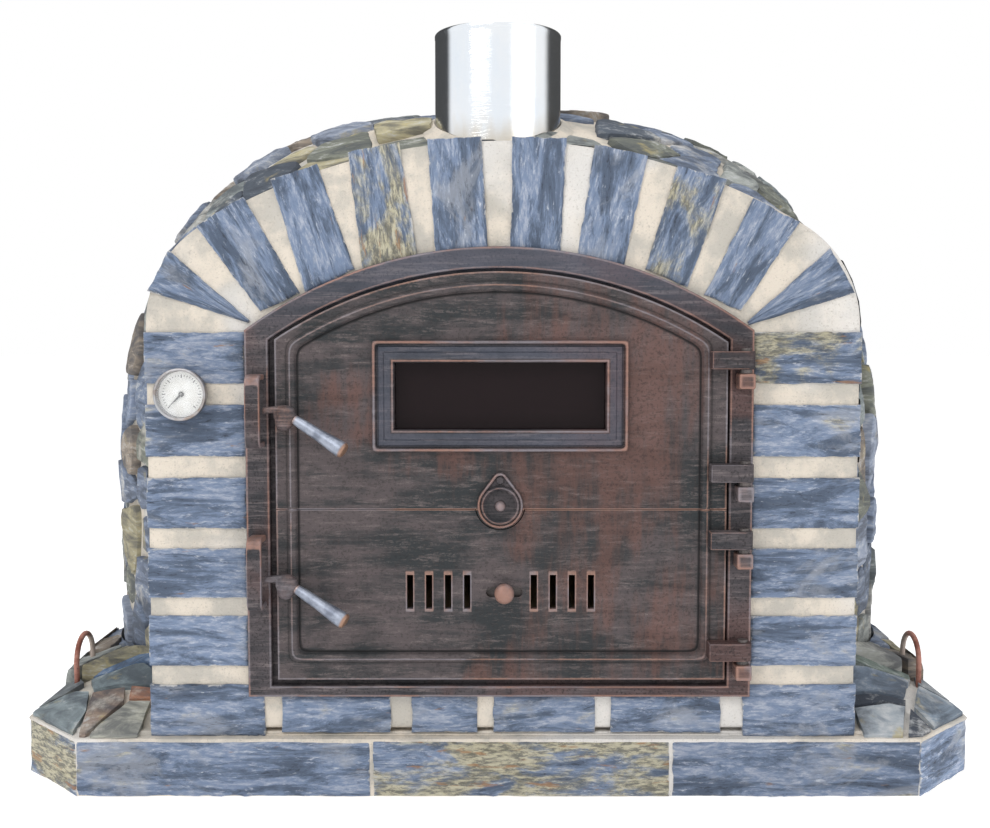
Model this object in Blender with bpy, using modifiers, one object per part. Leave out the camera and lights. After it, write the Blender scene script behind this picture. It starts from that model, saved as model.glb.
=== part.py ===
"""Wood fired pizza oven with a two-leaf cast iron door.

The oven stands on its slab: +Z is up, the door faces -Y, and the origin is the centre of the
slab's underside. Depths are counted from the slab's front face, FRONT, towards the back.
"""

import math

import bmesh
import bpy
from mathutils import Vector

# ------------------------------------------------------------------ sizes, in metres

GAP = 0.0003                    # between pieces that touch

# slab and the tiles round its edge
BASE_WIDTH = 1.10
BASE_DEPTH = 1.10
BASE_CORNER = 0.082             # cut off each corner, along both sides
TILE_HEIGHT = 0.063
TILE_THICKNESS = 0.012
TILE_LIFT = 0.001               # tiles end this far above the ground
TILE_JOINT = 0.005
BED_THICKNESS = 0.0077          # mortar bed that caps the tiles
FRONT_TILE_CUTS = (0.355, 0.3575, 0.3)   # widths of the three front tiles, as shares of their sum

# paving on the slab's corners
PAVING_EDGE = 0.013             # thickness at the slab's edge
PAVING_RISE = 0.038             # further rise, up to the dome
PAVING_SLOPE = 0.80             # size of the paving's top, as a share of the slab

# front arch
ARCH_X = 0.005                  # the masonry stands slightly right of the slab's centre
ARCH_HALF_WIDTH = 0.3915
ARCH_TOP = 0.7225
ARCH_SPRING = 0.520
ARCH_HAUNCH_RADIUS = 0.130
ARCH_DEPTH = 0.130
FACING_SETBACK = 0.007
FACING_THICKNESS = 0.012

# dome: each shell's wall is vertical up to DOME_SPRING and curves in above it
DOME_LEAD = 0.040               # the whole round would reach this far in front of the slab
DOME_RADIUS = 0.540
DOME_TOP = 0.823
DOME_SPRING = 0.297
DOME_ROUNDNESS = 2.58           # 2 is an ellipse, more is squarer
CLADDING_THICKNESS = 0.030
BLANKET_THICKNESS = 0.055
BRICK_THICKNESS = 0.060
FLOOR_BOARD_THICKNESS = 0.025
FLOOR_TOP = 0.130

# flue
FLUE_DEPTH = 0.2145
FLUE_RADIUS = 0.078
FLUE_WALL = 0.0015
FLUE_TOP = 0.8785
FLUE_FOOT = 0.715
SPIGOT_FOOT = 0.610
SPIGOT_TOP = 0.765

# lifting loops
LOOP_INSET = 0.026              # from the slab's side to the rod's middle
LOOP_DEPTH = 0.175              # the leg nearer to the slab's edge
LOOP_WIDTH = 0.061
LOOP_TOP = 0.1335               # centre of the rod at the top
LOOP_FOOT = 0.035
LOOP_ROD_RADIUS = 0.0035

# door frame
DOOR_X = 0.001
FRAME_HALF_WIDTH = 0.2755
FRAME_BOTTOM = 0.1138
FRAME_TOP = 0.606
FRAME_SPRING = 0.516
LIP_CLEARANCE = 0.002           # between the leaves' backs and the lip behind them
FRAME_BORDER = 0.026            # width of the border beside the leaves
FRAME_BORDER_BOTTOM = 0.0125
FRAME_BORDER_TOP = 0.0235
LIP_OVERLAP = 0.010             # the lip behind the leaves reaches in this far
LIP_THICKNESS = 0.008
COLLAR_INSET = 0.012
COLLAR_WALL = 0.008
COLLAR_DEPTH = 0.060
MORTAR_GAP = 0.001              # round the frame

# leaves
LEAF_THICKNESS = 0.008
LEAF_GAP_LEFT = 0.0065
LEAF_GAP_RIGHT = 0.002
LEAF_GAP_TOP = 0.003
LEAF_GAP_BOTTOM = 0.0067
SEAM = 0.3215
SEAM_GAP = 0.0008
BEAD_WIDTH = 0.009
BEAD_PROUD = 0.005
BEAD_LEFT = 0.0185              # from the leaf's edge to the bead's middle
BEAD_RIGHT = 0.0235
BEAD_TOP = 0.0163
BEAD_BOTTOM = 0.0257

# hinges
HINGE_OUT = 0.0165              # from the leaf's edge to the hinge line
HINGE_PROUD = 0.0115            # the hinge line stands in front of the frame
LUG_BOTTOMS = (0.4742, 0.3530, 0.2803, 0.1587)
LUG_HEIGHT = 0.0195
LUG_REACH = 0.0205              # from the leaf's edge, inwards
LUG_RADIUS = 0.010
KNUCKLE_HEIGHT = 0.0165
KNUCKLE_WIDTH = 0.018
HINGE_SHOULDER = 0.0045         # between a lug and its knuckle
PIN_RADIUS = 0.004
PIN_CLEARANCE = 0.0003

# window
WINDOW_OFFSET = 0.001           # right of the door's middle
WINDOW_Z = 0.4449
WINDOW_HALF = (0.1145, 0.0363)
WINDOW_BORDER = 0.0237
WINDOW_PROUD = 0.006
GLASS_OVERLAP = 0.008
GLASS_THICKNESS = 0.004
SEAL_THICKNESS = 0.002
SEAL_WIDTH = 0.007
RETAINER_WALL = 0.002
RETAINER_BORDER = 0.022
SCREW_RADIUS = 0.0023
SCREW_HEAD_RADIUS = 0.0045
SCREW_HEAD = 0.0025
SCREW_DEPTH = 0.005             # into the leaf
SCREW_INSET = 0.007             # from the retainer's edges

# latches and keepers
LATCH_INSET = 0.013             # from the leaf's edge
LATCH_HEIGHTS = (0.4200, 0.2375)
KEEPER_HEIGHTS = (0.4293, 0.2544)
KEEPER_OUT = 0.011              # from the leaf's edge to the side by the tongue
KEEPER_WIDTH = 0.016
KEEPER_LENGTH = 0.079
KEEPER_PROUD = 0.030
KEEPER_THICKNESS = 0.006
BOSS_RADIUS = 0.0105            # the pad on the leaf that the hub bears on
BOSS_PROUD = 0.006
HUB_RADIUS = 0.0095
HUB_PROUD = 0.027
TONGUE_GAP = 0.0005
TONGUE_THICKNESS = 0.008
TONGUE_RISE = (0.0085, 0.0165)  # lower and upper edge at the tip, above the spindle
SPINDLE_RADIUS = 0.004
NUT_RADIUS = 0.0065
NUT_THICKNESS = 0.004
GRIP_RISE = 0.008               # the grip's line passes this far above the spindle
GRIP_DROP_ANGLE = 31.0          # degrees, down from level
GRIP_OUT_ANGLE = 13.0           # degrees, away from the leaf
GRIP_START = 0.014
GRIP_LENGTH = 0.066
GRIP_RADII = (0.0048, 0.0085)

# spyhole
SPY_OFFSET = 0.001
SPY_Z = 0.3263
SPY_RADIUS = 0.0248
SPY_HOLE_RADIUS = 0.009
SPY_PIVOT_Z = 0.3535
SPY_EAR_RADIUS = 0.0085
SPY_PIN_RADIUS = 0.0028
LOBE_MARGIN = 0.0017            # the upper leaf's lobe is larger than the cover
NOTCH_GAP = 0.0010

# air slots and shutter
SLOT_OFFSET = 0.0014
SLOT_INNER = 0.0364
SLOT_PITCH = 0.0208
SLOTS_EACH_SIDE = 4
SLOT_WIDTH = 0.0070
SLOT_BOTTOM = 0.2119
SLOT_TOP = 0.2495
KNOB_OFFSET = 0.0055
KNOB_Z = 0.2305
KNOB_RADIUS = 0.0110
KNOB_NECK_RADIUS = 0.0045
KNOB_SLOT_HALF = 0.0200
KNOB_SLOT_HEIGHT = 0.0116
SHUTTER_THICKNESS = 0.002
SHUTTER_MARGIN = 0.009
GUIDE_HEIGHT = 0.014
GUIDE_LIP = 0.004
GUIDE_WALL = 0.002

# thermometer
GAUGE_INSET = 0.0435            # from the arch's left side
GAUGE_Z = 0.4468
GAUGE_RADIUS = 0.0285
GAUGE_DEPTH = 0.0152
GAUGE_WALL = 0.0015
GAUGE_BEZEL = 0.003
STEM_RADIUS = 0.0032
STEM_CLEARANCE = 0.0006
STEM_END = 0.330                # depth behind the slab's front
NEEDLE_LENGTH = 0.019
NEEDLE_REST = 225.0             # degrees, clockwise from straight up

ROUND = 20                      # sides of a small round piece
DOME_STEPS = 36

# ------------------------------------------------------------------ places worked out

FRONT = -BASE_DEPTH / 2
SLAB_TOP = TILE_LIFT + TILE_HEIGHT + GAP + BED_THICKNESS
FLOOR_LEVEL = SLAB_TOP + GAP
ARCH_BACK = FRONT + ARCH_DEPTH
DOME_Y = FRONT + DOME_RADIUS - DOME_LEAD
FLUE_Y = FRONT + FLUE_DEPTH
FACING_FRONT = FRONT + FACING_SETBACK
LEAF_BACK = FRONT + LEAF_THICKNESS
HINGE_Y = FRONT - HINGE_PROUD

FRAME_FLANGE = LEAF_THICKNESS + LIP_CLEARANCE

# the frame's crown is one arc, and every line of the door shares its centre
CROWN_RISE = FRAME_TOP - FRAME_SPRING
FRAME_CROWN_RADIUS = (FRAME_HALF_WIDTH**2 + CROWN_RISE**2) / (2 * CROWN_RISE)
CROWN_Z = FRAME_TOP - FRAME_CROWN_RADIUS
OPENING_HALF_WIDTH = FRAME_HALF_WIDTH - FRAME_BORDER
OPENING_BOTTOM = FRAME_BOTTOM + FRAME_BORDER_BOTTOM
OPENING_RADIUS = FRAME_CROWN_RADIUS - FRAME_BORDER_TOP
LEAF_LEFT = DOOR_X - OPENING_HALF_WIDTH + LEAF_GAP_LEFT
LEAF_RIGHT = DOOR_X + OPENING_HALF_WIDTH - LEAF_GAP_RIGHT
LEAF_BOTTOM = OPENING_BOTTOM + LEAF_GAP_BOTTOM
LEAF_RADIUS = OPENING_RADIUS - LEAF_GAP_TOP

# the fittings keep their places on the leaves, the arch and the slab
HINGE_X = LEAF_RIGHT + HINGE_OUT
LUG_ROOT_X = LEAF_RIGHT - LUG_REACH
LATCH_X = LEAF_LEFT + LATCH_INSET
KEEPER_X = LEAF_LEFT - KEEPER_OUT
WINDOW_X = DOOR_X + WINDOW_OFFSET
SPY_X = DOOR_X + SPY_OFFSET
SLOT_X = DOOR_X + SLOT_OFFSET
KNOB_X = DOOR_X + KNOB_OFFSET
GAUGE_X = ARCH_X - ARCH_HALF_WIDTH + GAUGE_INSET
LOOP_X = BASE_WIDTH / 2 - LOOP_INSET

# ------------------------------------------------------------------ helpers


def collection(name):
    made = bpy.data.collections.new(name)
    bpy.context.scene.collection.children.link(made)
    return made


for old in list(bpy.data.objects):
    bpy.data.objects.remove(old)
OVEN = collection("pizza_oven")
CUTTERS = collection("cutters")


def place(obj, group=None):
    (group or OVEN).objects.link(obj)
    return obj


def as_tool(obj):
    """Marks an object as a cutter or a joined shape, which isn't a piece of the oven."""
    for group in list(obj.users_collection):
        group.objects.unlink(obj)
    CUTTERS.objects.link(obj)
    obj.hide_render = True
    obj.display_type = "WIRE"
    return obj


def finish(obj, color, roughness, metallic=0.0, alpha=1.0):
    material = bpy.data.materials.new(obj.name)
    material.use_nodes = True
    shader = material.node_tree.nodes["Principled BSDF"]
    shader.inputs["Base Color"].default_value = (*color, 1.0)
    shader.inputs["Roughness"].default_value = roughness
    shader.inputs["Metallic"].default_value = metallic
    shader.inputs["Alpha"].default_value = alpha
    obj.data.materials.clear()
    obj.data.materials.append(material)
    return obj


def slate(obj):
    return finish(obj, (0.20, 0.26, 0.36), 0.75)


def stone(obj):
    return finish(obj, (0.30, 0.30, 0.28), 0.85)


def mortar(obj):
    return finish(obj, (0.72, 0.67, 0.58), 0.95)


def firebrick(obj):
    return finish(obj, (0.62, 0.50, 0.36), 0.90)


def cast_iron(obj):
    return finish(obj, (0.06, 0.045, 0.04), 0.55, 0.8)


def steel(obj):
    return finish(obj, (0.55, 0.56, 0.60), 0.35, 1.0)


def boolean(obj, other, operation, solver="EXACT"):
    change = obj.modifiers.new(operation.lower(), "BOOLEAN")
    change.operation = operation
    change.object = as_tool(other)
    change.solver = solver


def cut(obj, *others):
    for other in others:
        boolean(obj, other, "DIFFERENCE")
    return obj


def join(obj, *others):
    for other in others:
        boolean(obj, other, "UNION")
    return obj


def box(name, low, high):
    """A box between two corners."""
    low, high = Vector(low), Vector(high)
    mesh = bpy.data.meshes.new(name)
    shape = bmesh.new()
    bmesh.ops.create_cube(shape, size=1.0)
    bmesh.ops.scale(shape, vec=high - low, verts=shape.verts)
    shape.to_mesh(mesh)
    shape.free()
    obj = place(bpy.data.objects.new(name, mesh))
    obj.location = (low + high) / 2
    return obj


def rod(name, radius, start, end, sides=ROUND):
    """A cylinder from one point to another."""
    start, end = Vector(start), Vector(end)
    along = end - start
    mesh = bpy.data.meshes.new(name)
    shape = bmesh.new()
    bmesh.ops.create_cone(
        shape, cap_ends=True, segments=sides, depth=along.length,
        radius1=radius, radius2=radius,
    )
    shape.to_mesh(mesh)
    shape.free()
    mesh.shade_smooth()
    mesh.set_sharp_from_angle(angle=math.radians(40))
    obj = place(bpy.data.objects.new(name, mesh))
    obj.rotation_euler = along.to_track_quat("Z", "Y").to_euler()
    obj.location = (start + end) / 2
    return obj


def curve_to_mesh(obj):
    """The curve's mesh, with its caps welded on, in the curve's place."""
    bpy.context.view_layer.update()
    shown = obj.evaluated_get(bpy.context.evaluated_depsgraph_get())
    mesh = bpy.data.meshes.new_from_object(shown)
    shape = bmesh.new()
    shape.from_mesh(mesh)
    bmesh.ops.remove_doubles(shape, verts=shape.verts, dist=0.00001)
    shape.to_mesh(mesh)
    shape.free()
    name = obj.name
    made = bpy.data.objects.new(name, mesh)
    made.matrix_world = obj.matrix_world.copy()
    bpy.data.objects.remove(obj)
    made.name = name
    return place(made)


def plate(name, outlines, low, high, flat="XZ"):
    """A flat outline, with holes for any further outlines, between two levels.

    With flat="XZ" the outline stands upright and the levels are along Y; with "XY" it lies flat
    and they are along Z; with "YZ" it stands sideways and they are along X.
    """
    shape = bpy.data.curves.new(name, "CURVE")
    shape.dimensions = "2D"
    shape.fill_mode = "BOTH"
    shape.extrude = (high - low) / 2
    for outline in outlines:
        spline = shape.splines.new("POLY")
        spline.points.add(len(outline) - 1)
        for point, (u, v) in zip(spline.points, outline):
            point.co = (u, v, 0.0, 1.0)
        spline.use_cyclic_u = True
    obj = place(bpy.data.objects.new(name, shape))
    middle = (low + high) / 2
    if flat == "XZ":
        obj.rotation_euler = (math.pi / 2, 0.0, 0.0)
        obj.location = (0.0, middle, 0.0)
    elif flat == "YZ":
        obj.rotation_euler = (math.pi / 2, 0.0, math.pi / 2)
        obj.location = (middle, 0.0, 0.0)
    else:
        obj.location = (0.0, 0.0, middle)
    return curve_to_mesh(obj)


def turned(name, profile, centre, along=(0.0, 0.0, 1.0), steps=ROUND, closed=True):
    """A profile of (radius, height) turned round a line through centre.

    The profile runs down its outer side. A closed one is a ring; an open one starts and ends on
    the line.
    """
    mesh = bpy.data.meshes.new(name)
    points = [(radius, 0.0, height) for radius, height in profile]
    edges = [(i, i + 1) for i in range(len(points) - 1)]
    if closed:
        edges.append((len(points) - 1, 0))
    mesh.from_pydata(points, edges, [])
    obj = place(bpy.data.objects.new(name, mesh))
    obj.rotation_euler = Vector(along).to_track_quat("Z", "Y").to_euler()
    obj.location = centre
    screw = obj.modifiers.new("turn", "SCREW")
    screw.axis = "Z"
    screw.steps = steps
    screw.render_steps = steps
    screw.use_merge_vertices = True
    screw.merge_threshold = 0.00001
    screw.use_smooth_shade = True
    return obj


def arc(centre, radius, first, last, steps):
    """Points on a circle between two angles in degrees."""
    return [
        (centre[0] + radius * math.cos(a), centre[1] + radius * math.sin(a))
        for a in (math.radians(first + (last - first) * i / steps) for i in range(steps + 1))
    ]


def rectangle(left, right, bottom, top):
    return [(left, bottom), (right, bottom), (right, top), (left, top)]


def rounded_slot(centre, half_length, half_height, steps=8):
    """A level slot with round ends."""
    reach = half_length - half_height
    right = arc((centre[0] + reach, centre[1]), half_height, -90, 90, steps)
    left = arc((centre[0] - reach, centre[1]), half_height, 90, 270, steps)
    return right + left


# ------------------------------------------------------------------ outlines


def slab_outline(inset=0.0):
    """The slab in plan: a rectangle with its corners cut off, moved in by a distance."""
    x = BASE_WIDTH / 2 - inset
    y = BASE_DEPTH / 2 - inset
    corner = BASE_CORNER - inset * (2 - math.sqrt(2))
    return [
        (-x + corner, -y), (x - corner, -y), (x, -y + corner), (x, y - corner),
        (x - corner, y), (-x + corner, y), (-x, y - corner), (-x, -y + corner),
    ]


def arch_outline(grow=0.0, bottom=FLOOR_LEVEL, steps=6):
    """The front arch: two piers, a tight arc at each haunch and one wide arc over the crown.

    The crown's radius follows from its top and from meeting the haunch arcs smoothly.
    """
    haunch = ARCH_HAUNCH_RADIUS
    reach = ARCH_HALF_WIDTH - haunch
    rise = ARCH_TOP - ARCH_SPRING
    crown = (reach**2 + rise**2 - haunch**2) / (2 * (rise - haunch))
    crown_z = ARCH_TOP - crown
    turn = math.degrees(math.atan2(ARCH_SPRING - crown_z, reach))
    right = arc((ARCH_X + reach, ARCH_SPRING), haunch + grow, 0, turn, steps)
    middle = arc((ARCH_X, crown_z), crown + grow, turn, 180 - turn, 2 * steps)
    left = arc((ARCH_X - reach, ARCH_SPRING), haunch + grow, 180 - turn, 180, steps)
    half = ARCH_HALF_WIDTH + grow
    return [(ARCH_X - half, bottom), (ARCH_X + half, bottom)] + right + middle[1:-1] + left


def door_line(left, right, bottom, radius, steps=14):
    """A line of the door: straight sides and bottom, and an arc round the shared centre."""
    first = math.degrees(math.acos((right - DOOR_X) / radius))
    last = math.degrees(math.acos((left - DOOR_X) / radius))
    return [(left, bottom), (right, bottom)] + arc((DOOR_X, CROWN_Z), radius, first, last, steps)


def frame_line(inset=0.0, bottom=None):
    """The frame's outer edge, moved in by a distance."""
    half = FRAME_HALF_WIDTH - inset
    low = FRAME_BOTTOM + inset if bottom is None else bottom
    return door_line(DOOR_X - half, DOOR_X + half, low, FRAME_CROWN_RADIUS - inset)


def opening_line(inset=0.0):
    """The edge of the frame's opening, moved in by a distance."""
    half = OPENING_HALF_WIDTH - inset
    return door_line(DOOR_X - half, DOOR_X + half, OPENING_BOTTOM + inset, OPENING_RADIUS - inset)


# ------------------------------------------------------------------ base


def make_base():
    tile_back = TILE_THICKNESS + GAP
    slab = plate("base_slab", [slab_outline(tile_back)], 0.0, SLAB_TOP - BED_THICKNESS / 2, "XY")
    bed = plate("bed", [slab_outline()], SLAB_TOP - BED_THICKNESS, SLAB_TOP, "XY")
    mortar(join(slab, bed))
    outer, inner = slab_outline(), slab_outline(TILE_THICKNESS)

    def side(index, first=0.0, last=1.0):
        """A stretch of one side of the tile band, in plan, from outer to inner edge."""
        a, b = Vector(outer[index]), Vector(outer[(index + 1) % 8])
        c, d = Vector(inner[index]), Vector(inner[(index + 1) % 8])
        ends = (a.lerp(b, first), a.lerp(b, last), c.lerp(d, last), c.lerp(d, first))
        along = (b - a).normalized() * TILE_JOINT / 2
        return [tuple(p + along * sign) for p, sign in zip(ends, (1, -1, -1, 1))]

    def tile(name, outline):
        slate(plate(name, [outline], TILE_LIFT, TILE_LIFT + TILE_HEIGHT, "XY"))

    total = sum(FRONT_TILE_CUTS)
    start = 0.0
    for name, share in zip(("left", "middle", "right"), FRONT_TILE_CUTS):
        tile(f"front_tile_{name}", side(0, start, start + share / total))
        start += share / total
    tile("corner_tile_right", side(1))
    tile("corner_tile_left", side(7))
    tile("back_tile", side(4))
    # each side's tiles run on round the rear corner
    for name, long_side, corner in (("right", 2, 3), ("left", 6, 5)):
        a, b = side(long_side), side(corner)
        if name == "right":
            outline = [a[0], outer[3], b[1], b[2], inner[3], a[3]]
        else:
            outline = [b[0], outer[6], a[1], a[2], inner[6], b[3]]
        tile(f"side_tile_{name}", outline)
    return slab


def tapered(obj, rise, share):
    """Draws an upright prism's top face up and in, which gives it a sloping edge all round."""
    shape = bmesh.new()
    shape.from_mesh(obj.data)
    bmesh.ops.dissolve_limit(
        shape, angle_limit=0.01, verts=shape.verts[:], edges=shape.edges[:])
    top = max(shape.faces, key=lambda face: face.calc_center_median().z)
    drawn = bmesh.ops.extrude_face_region(shape, geom=[top])["geom"]
    bmesh.ops.delete(shape, geom=[top], context="FACES_ONLY")
    corners = [item for item in drawn if isinstance(item, bmesh.types.BMVert)]
    bmesh.ops.scale(shape, vec=(share, share, 1.0), verts=corners)
    bmesh.ops.translate(shape, vec=(0.0, 0.0, rise), verts=corners)
    shape.to_mesh(obj.data)
    shape.free()
    return obj


def loop_legs(x_side, y_side):
    """The two legs of the lifting loop in one corner, as places in plan."""
    outer = y_side * (BASE_DEPTH / 2 - LOOP_DEPTH)
    inner = outer - y_side * LOOP_WIDTH
    return [(x_side * LOOP_X, outer), (x_side * LOOP_X, inner)]


def leg_holes(x_side, y_side):
    hole = LOOP_ROD_RADIUS + 2 * GAP
    return [
        rod("leg_hole", hole, (x, y, LOOP_FOOT - GAP), (x, y, LOOP_TOP), 12)
        for x, y in loop_legs(x_side, y_side)
    ]


def make_paving():
    """Four corner pieces: the slab's outline, tapering upwards, less the dome and the arch."""
    foot = SLAB_TOP + GAP
    reach = BASE_WIDTH + BASE_DEPTH
    for x_name, x_side in (("left", -1), ("right", 1)):
        for y_name, y_side in (("front", -1), ("rear", 1)):
            x_ends = sorted((x_side * GAP / 2, x_side * reach))
            y_ends = sorted((DOME_Y + y_side * GAP / 2, DOME_Y + y_side * reach))
            corner = box(
                f"paving_{y_name}_{x_name}",
                (x_ends[0], y_ends[0], foot), (x_ends[1], y_ends[1], LOOP_TOP),
            )
            heap = plate("heap", [slab_outline()], foot - 0.01, foot + PAVING_EDGE, "XY")
            boolean(corner, tapered(heap, PAVING_RISE, PAVING_SLOPE), "INTERSECT")
            dome = rod(
                "dome_space", DOME_RADIUS + 2 * GAP,
                (0, DOME_Y, 0), (0, DOME_Y, 1), 2 * DOME_STEPS)
            arch = box(
                "arch_space",
                (ARCH_X - ARCH_HALF_WIDTH - GAP, FRONT - 0.1, 0),
                (ARCH_X + ARCH_HALF_WIDTH + GAP, DOME_Y, 1),
            )
            slate(cut(corner, dome, arch, *leg_holes(x_side, y_side)))


def make_loops(slab):
    """Bent rods, cast into the slab: up, over in a half circle and down."""
    for x_name, x_side in (("left", -1), ("right", 1)):
        for y_name, y_side in (("front", -1), ("rear", 1)):
            x = x_side * LOOP_X
            first, last = sorted(y for _, y in loop_legs(x_side, y_side))
            bend = LOOP_WIDTH / 2
            over = arc(((first + last) / 2, LOOP_TOP - bend), bend, 180, 0, 10)
            path = [(first, LOOP_FOOT)] + over + [(last, LOOP_FOOT)]
            shape = bpy.data.curves.new("loop", "CURVE")
            shape.dimensions = "3D"
            shape.bevel_depth = LOOP_ROD_RADIUS
            shape.bevel_resolution = 1
            shape.use_fill_caps = True
            spline = shape.splines.new("POLY")
            spline.points.add(len(path) - 1)
            for point, (y, z) in zip(spline.points, path):
                point.co = (x, y, z, 1.0)
            loop = bpy.data.objects.new(f"lifting_loop_{y_name}_{x_name}", shape)
            finish(place(loop), (0.28, 0.12, 0.07), 0.8, 0.4)
            cut(slab, *leg_holes(x_side, y_side))


# ------------------------------------------------------------------ arch and dome


def stem_hole():
    radius = STEM_RADIUS + STEM_CLEARANCE
    return rod("stem_hole", radius, (GAUGE_X, FRONT - 0.1, GAUGE_Z),
               (GAUGE_X, FRONT + STEM_END + GAP, GAUGE_Z), 16)


def make_arch():
    # the brickwork's opening takes the frame's collar
    opening = frame_line(COLLAR_INSET - MORTAR_GAP)
    facing_back = FACING_FRONT + FACING_THICKNESS
    arch = plate("front_arch", [arch_outline(-GAP), opening], facing_back + GAP, ARCH_BACK)
    mortar(cut(arch, stem_hole()))
    facing = plate(
        "arch_facing", [arch_outline(), frame_line(-MORTAR_GAP)], FACING_FRONT, facing_back)
    slate(cut(facing, stem_hole()))


def dome_profile(inset_side, inset_top, steps=7):
    """One line of the dome, from its top down to the slab: (r/a)**n + (h/b)**n = 1."""
    a = DOME_RADIUS - inset_side
    b = DOME_TOP - inset_top - DOME_SPRING
    line = []
    for i in range(steps + 1):
        angle = math.pi / 2 * (1 - i / steps)
        power = 2 / DOME_ROUNDNESS
        line.append((a * math.cos(angle)**power if i else 0.0,
                     DOME_SPRING + b * (math.sin(angle)**power if i < steps else 0.0)))
    return line + [(a, FLOOR_LEVEL)]


def dome_shell(name, outer, inner):
    """A shell between two lines of the dome, cut off flat where the front arch stands."""
    profile = dome_profile(outer, outer) + dome_profile(inner, inner)[::-1]
    shell = turned(name, profile, (0, DOME_Y, 0), steps=DOME_STEPS, closed=False)
    front = box("front_cut", (-1, FRONT - 1, -1), (1, ARCH_BACK + GAP, 2))
    mouth = plate("mouth", [frame_line(COLLAR_INSET, bottom=0.0)], FRONT, DOME_Y)
    return cut(shell, front, mouth, stem_hole())


def flue_hole(radius, foot=DOME_SPRING):
    return rod("flue_hole", radius + GAP, (0, FLUE_Y, foot), (0, FLUE_Y, 2), DOME_STEPS)


def make_dome():
    blanket = CLADDING_THICKNESS
    brick = blanket + BLANKET_THICKNESS
    inside = brick + BRICK_THICKNESS
    stone(cut(dome_shell("stone_cladding", 0.0, blanket), flue_hole(FLUE_RADIUS)))
    blanket_piece = dome_shell("insulation_blanket", blanket + GAP, brick)
    finish(cut(blanket_piece, flue_hole(FLUE_RADIUS)), (0.85, 0.85, 0.82), 1.0)
    spigot = FLUE_RADIUS - FLUE_WALL - GAP
    seat = flue_hole(FLUE_RADIUS, FLUE_FOOT - GAP)      # the pipe keeps clear of the bricks
    firebrick(cut(dome_shell("brick_dome", brick + GAP, inside), flue_hole(spigot), seat))
    # the dome is a polygon in plan, so the floor fits the middle of its sides
    make_floor((DOME_RADIUS - inside) * math.cos(math.pi / DOME_STEPS) - GAP)


def make_floor(radius):
    """A disc that runs out through the dome's mouth as far as the arch."""
    half = FRAME_HALF_WIDTH - COLLAR_INSET - 2 * GAP
    right, left = (
        math.degrees(math.asin((half + side * DOOR_X) / radius)) for side in (1, -1))
    outline = arc((0, DOME_Y), radius, right - 90, 270 - left, 30)
    start = ARCH_BACK + GAP
    outline += [(DOOR_X - half, start), (DOOR_X + half, start)]
    board_top = FLOOR_LEVEL + FLOOR_BOARD_THICKNESS
    board = plate("floor_insulation", [outline], FLOOR_LEVEL, board_top, "XY")
    finish(board, (0.80, 0.74, 0.62), 1.0)
    firebrick(plate("oven_floor", [outline], board_top + GAP, FLOOR_TOP, "XY"))


def make_flue():
    def tube(name, radius, low, high):
        inner = radius - FLUE_WALL
        profile = [(inner, high), (radius, high), (radius, low), (inner, low)]
        made = turned(name, profile, (0, FLUE_Y, 0), steps=DOME_STEPS)
        return finish(made, (0.75, 0.76, 0.78), 0.25, 1.0)

    tube("flue_pipe", FLUE_RADIUS, FLUE_FOOT, FLUE_TOP)
    tube("flue_spigot", FLUE_RADIUS - FLUE_WALL - GAP, SPIGOT_FOOT, SPIGOT_TOP)


# ------------------------------------------------------------------ door


def lug_shape(name, foot, root_x, root_y, height):
    """A hinge lug in plan: a bar from the leaf that ends round the hinge line."""
    front, back = HINGE_Y - LUG_RADIUS, HINGE_Y + LUG_RADIUS
    outline = [(root_x, front)] + arc((HINGE_X, HINGE_Y), LUG_RADIUS, -90, 90, 10)
    outline += [(LEAF_RIGHT - GAP, back), (LEAF_RIGHT - GAP, root_y), (root_x, root_y)]
    return plate(name, [outline], foot, foot + height, "XY")


def pin_hole(foot, height):
    return rod("pin_hole", PIN_RADIUS + PIN_CLEARANCE, (HINGE_X, HINGE_Y, foot - 0.01),
               (HINGE_X, HINGE_Y, foot + height + 0.01), 16)


def make_frame():
    flange_back = FRONT + FRAME_FLANGE
    lip_back = flange_back + LIP_THICKNESS
    frame = plate("door_frame", [frame_line(), opening_line()], FRONT, flange_back)
    lip = plate(
        "lip", [frame_line(COLLAR_INSET), opening_line(LIP_OVERLAP)],
        flange_back - 0.001, lip_back)
    collar = plate(
        "collar", [frame_line(COLLAR_INSET), frame_line(COLLAR_INSET + COLLAR_WALL)],
        lip_back - 0.001, FRONT + COLLAR_DEPTH)
    join(frame, lip, collar)
    for foot in LUG_BOTTOMS:
        top = foot - HINGE_SHOULDER
        low = (HINGE_X - KNUCKLE_WIDTH / 2, HINGE_Y - LUG_RADIUS, top - KNUCKLE_HEIGHT)
        high = (HINGE_X + KNUCKLE_WIDTH / 2, FRONT + 0.001, top)
        join(frame, box("knuckle", low, high))
        cut(frame, pin_hole(top - KNUCKLE_HEIGHT, KNUCKLE_HEIGHT))
    cast_iron(frame)
    for name, height in zip(("upper", "lower"), KEEPER_HEIGHTS):
        make_keeper(f"{name}_keeper", height)


def make_keeper(name, height):
    """A flat bow: two feet on the frame's border and a bar that stands off it."""
    half = KEEPER_LENGTH / 2
    back, face = FRONT - GAP, FRONT - KEEPER_PROUD
    t = KEEPER_THICKNESS
    outline = [
        (back, height - half), (back, height - half + t), (face + t, height - half + t),
        (face + t, height + half - t), (back, height + half - t), (back, height + half),
        (face, height + half), (face, height - half),
    ]
    cast_iron(plate(name, [outline], KEEPER_X - KEEPER_WIDTH, KEEPER_X, "YZ"))


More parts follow.
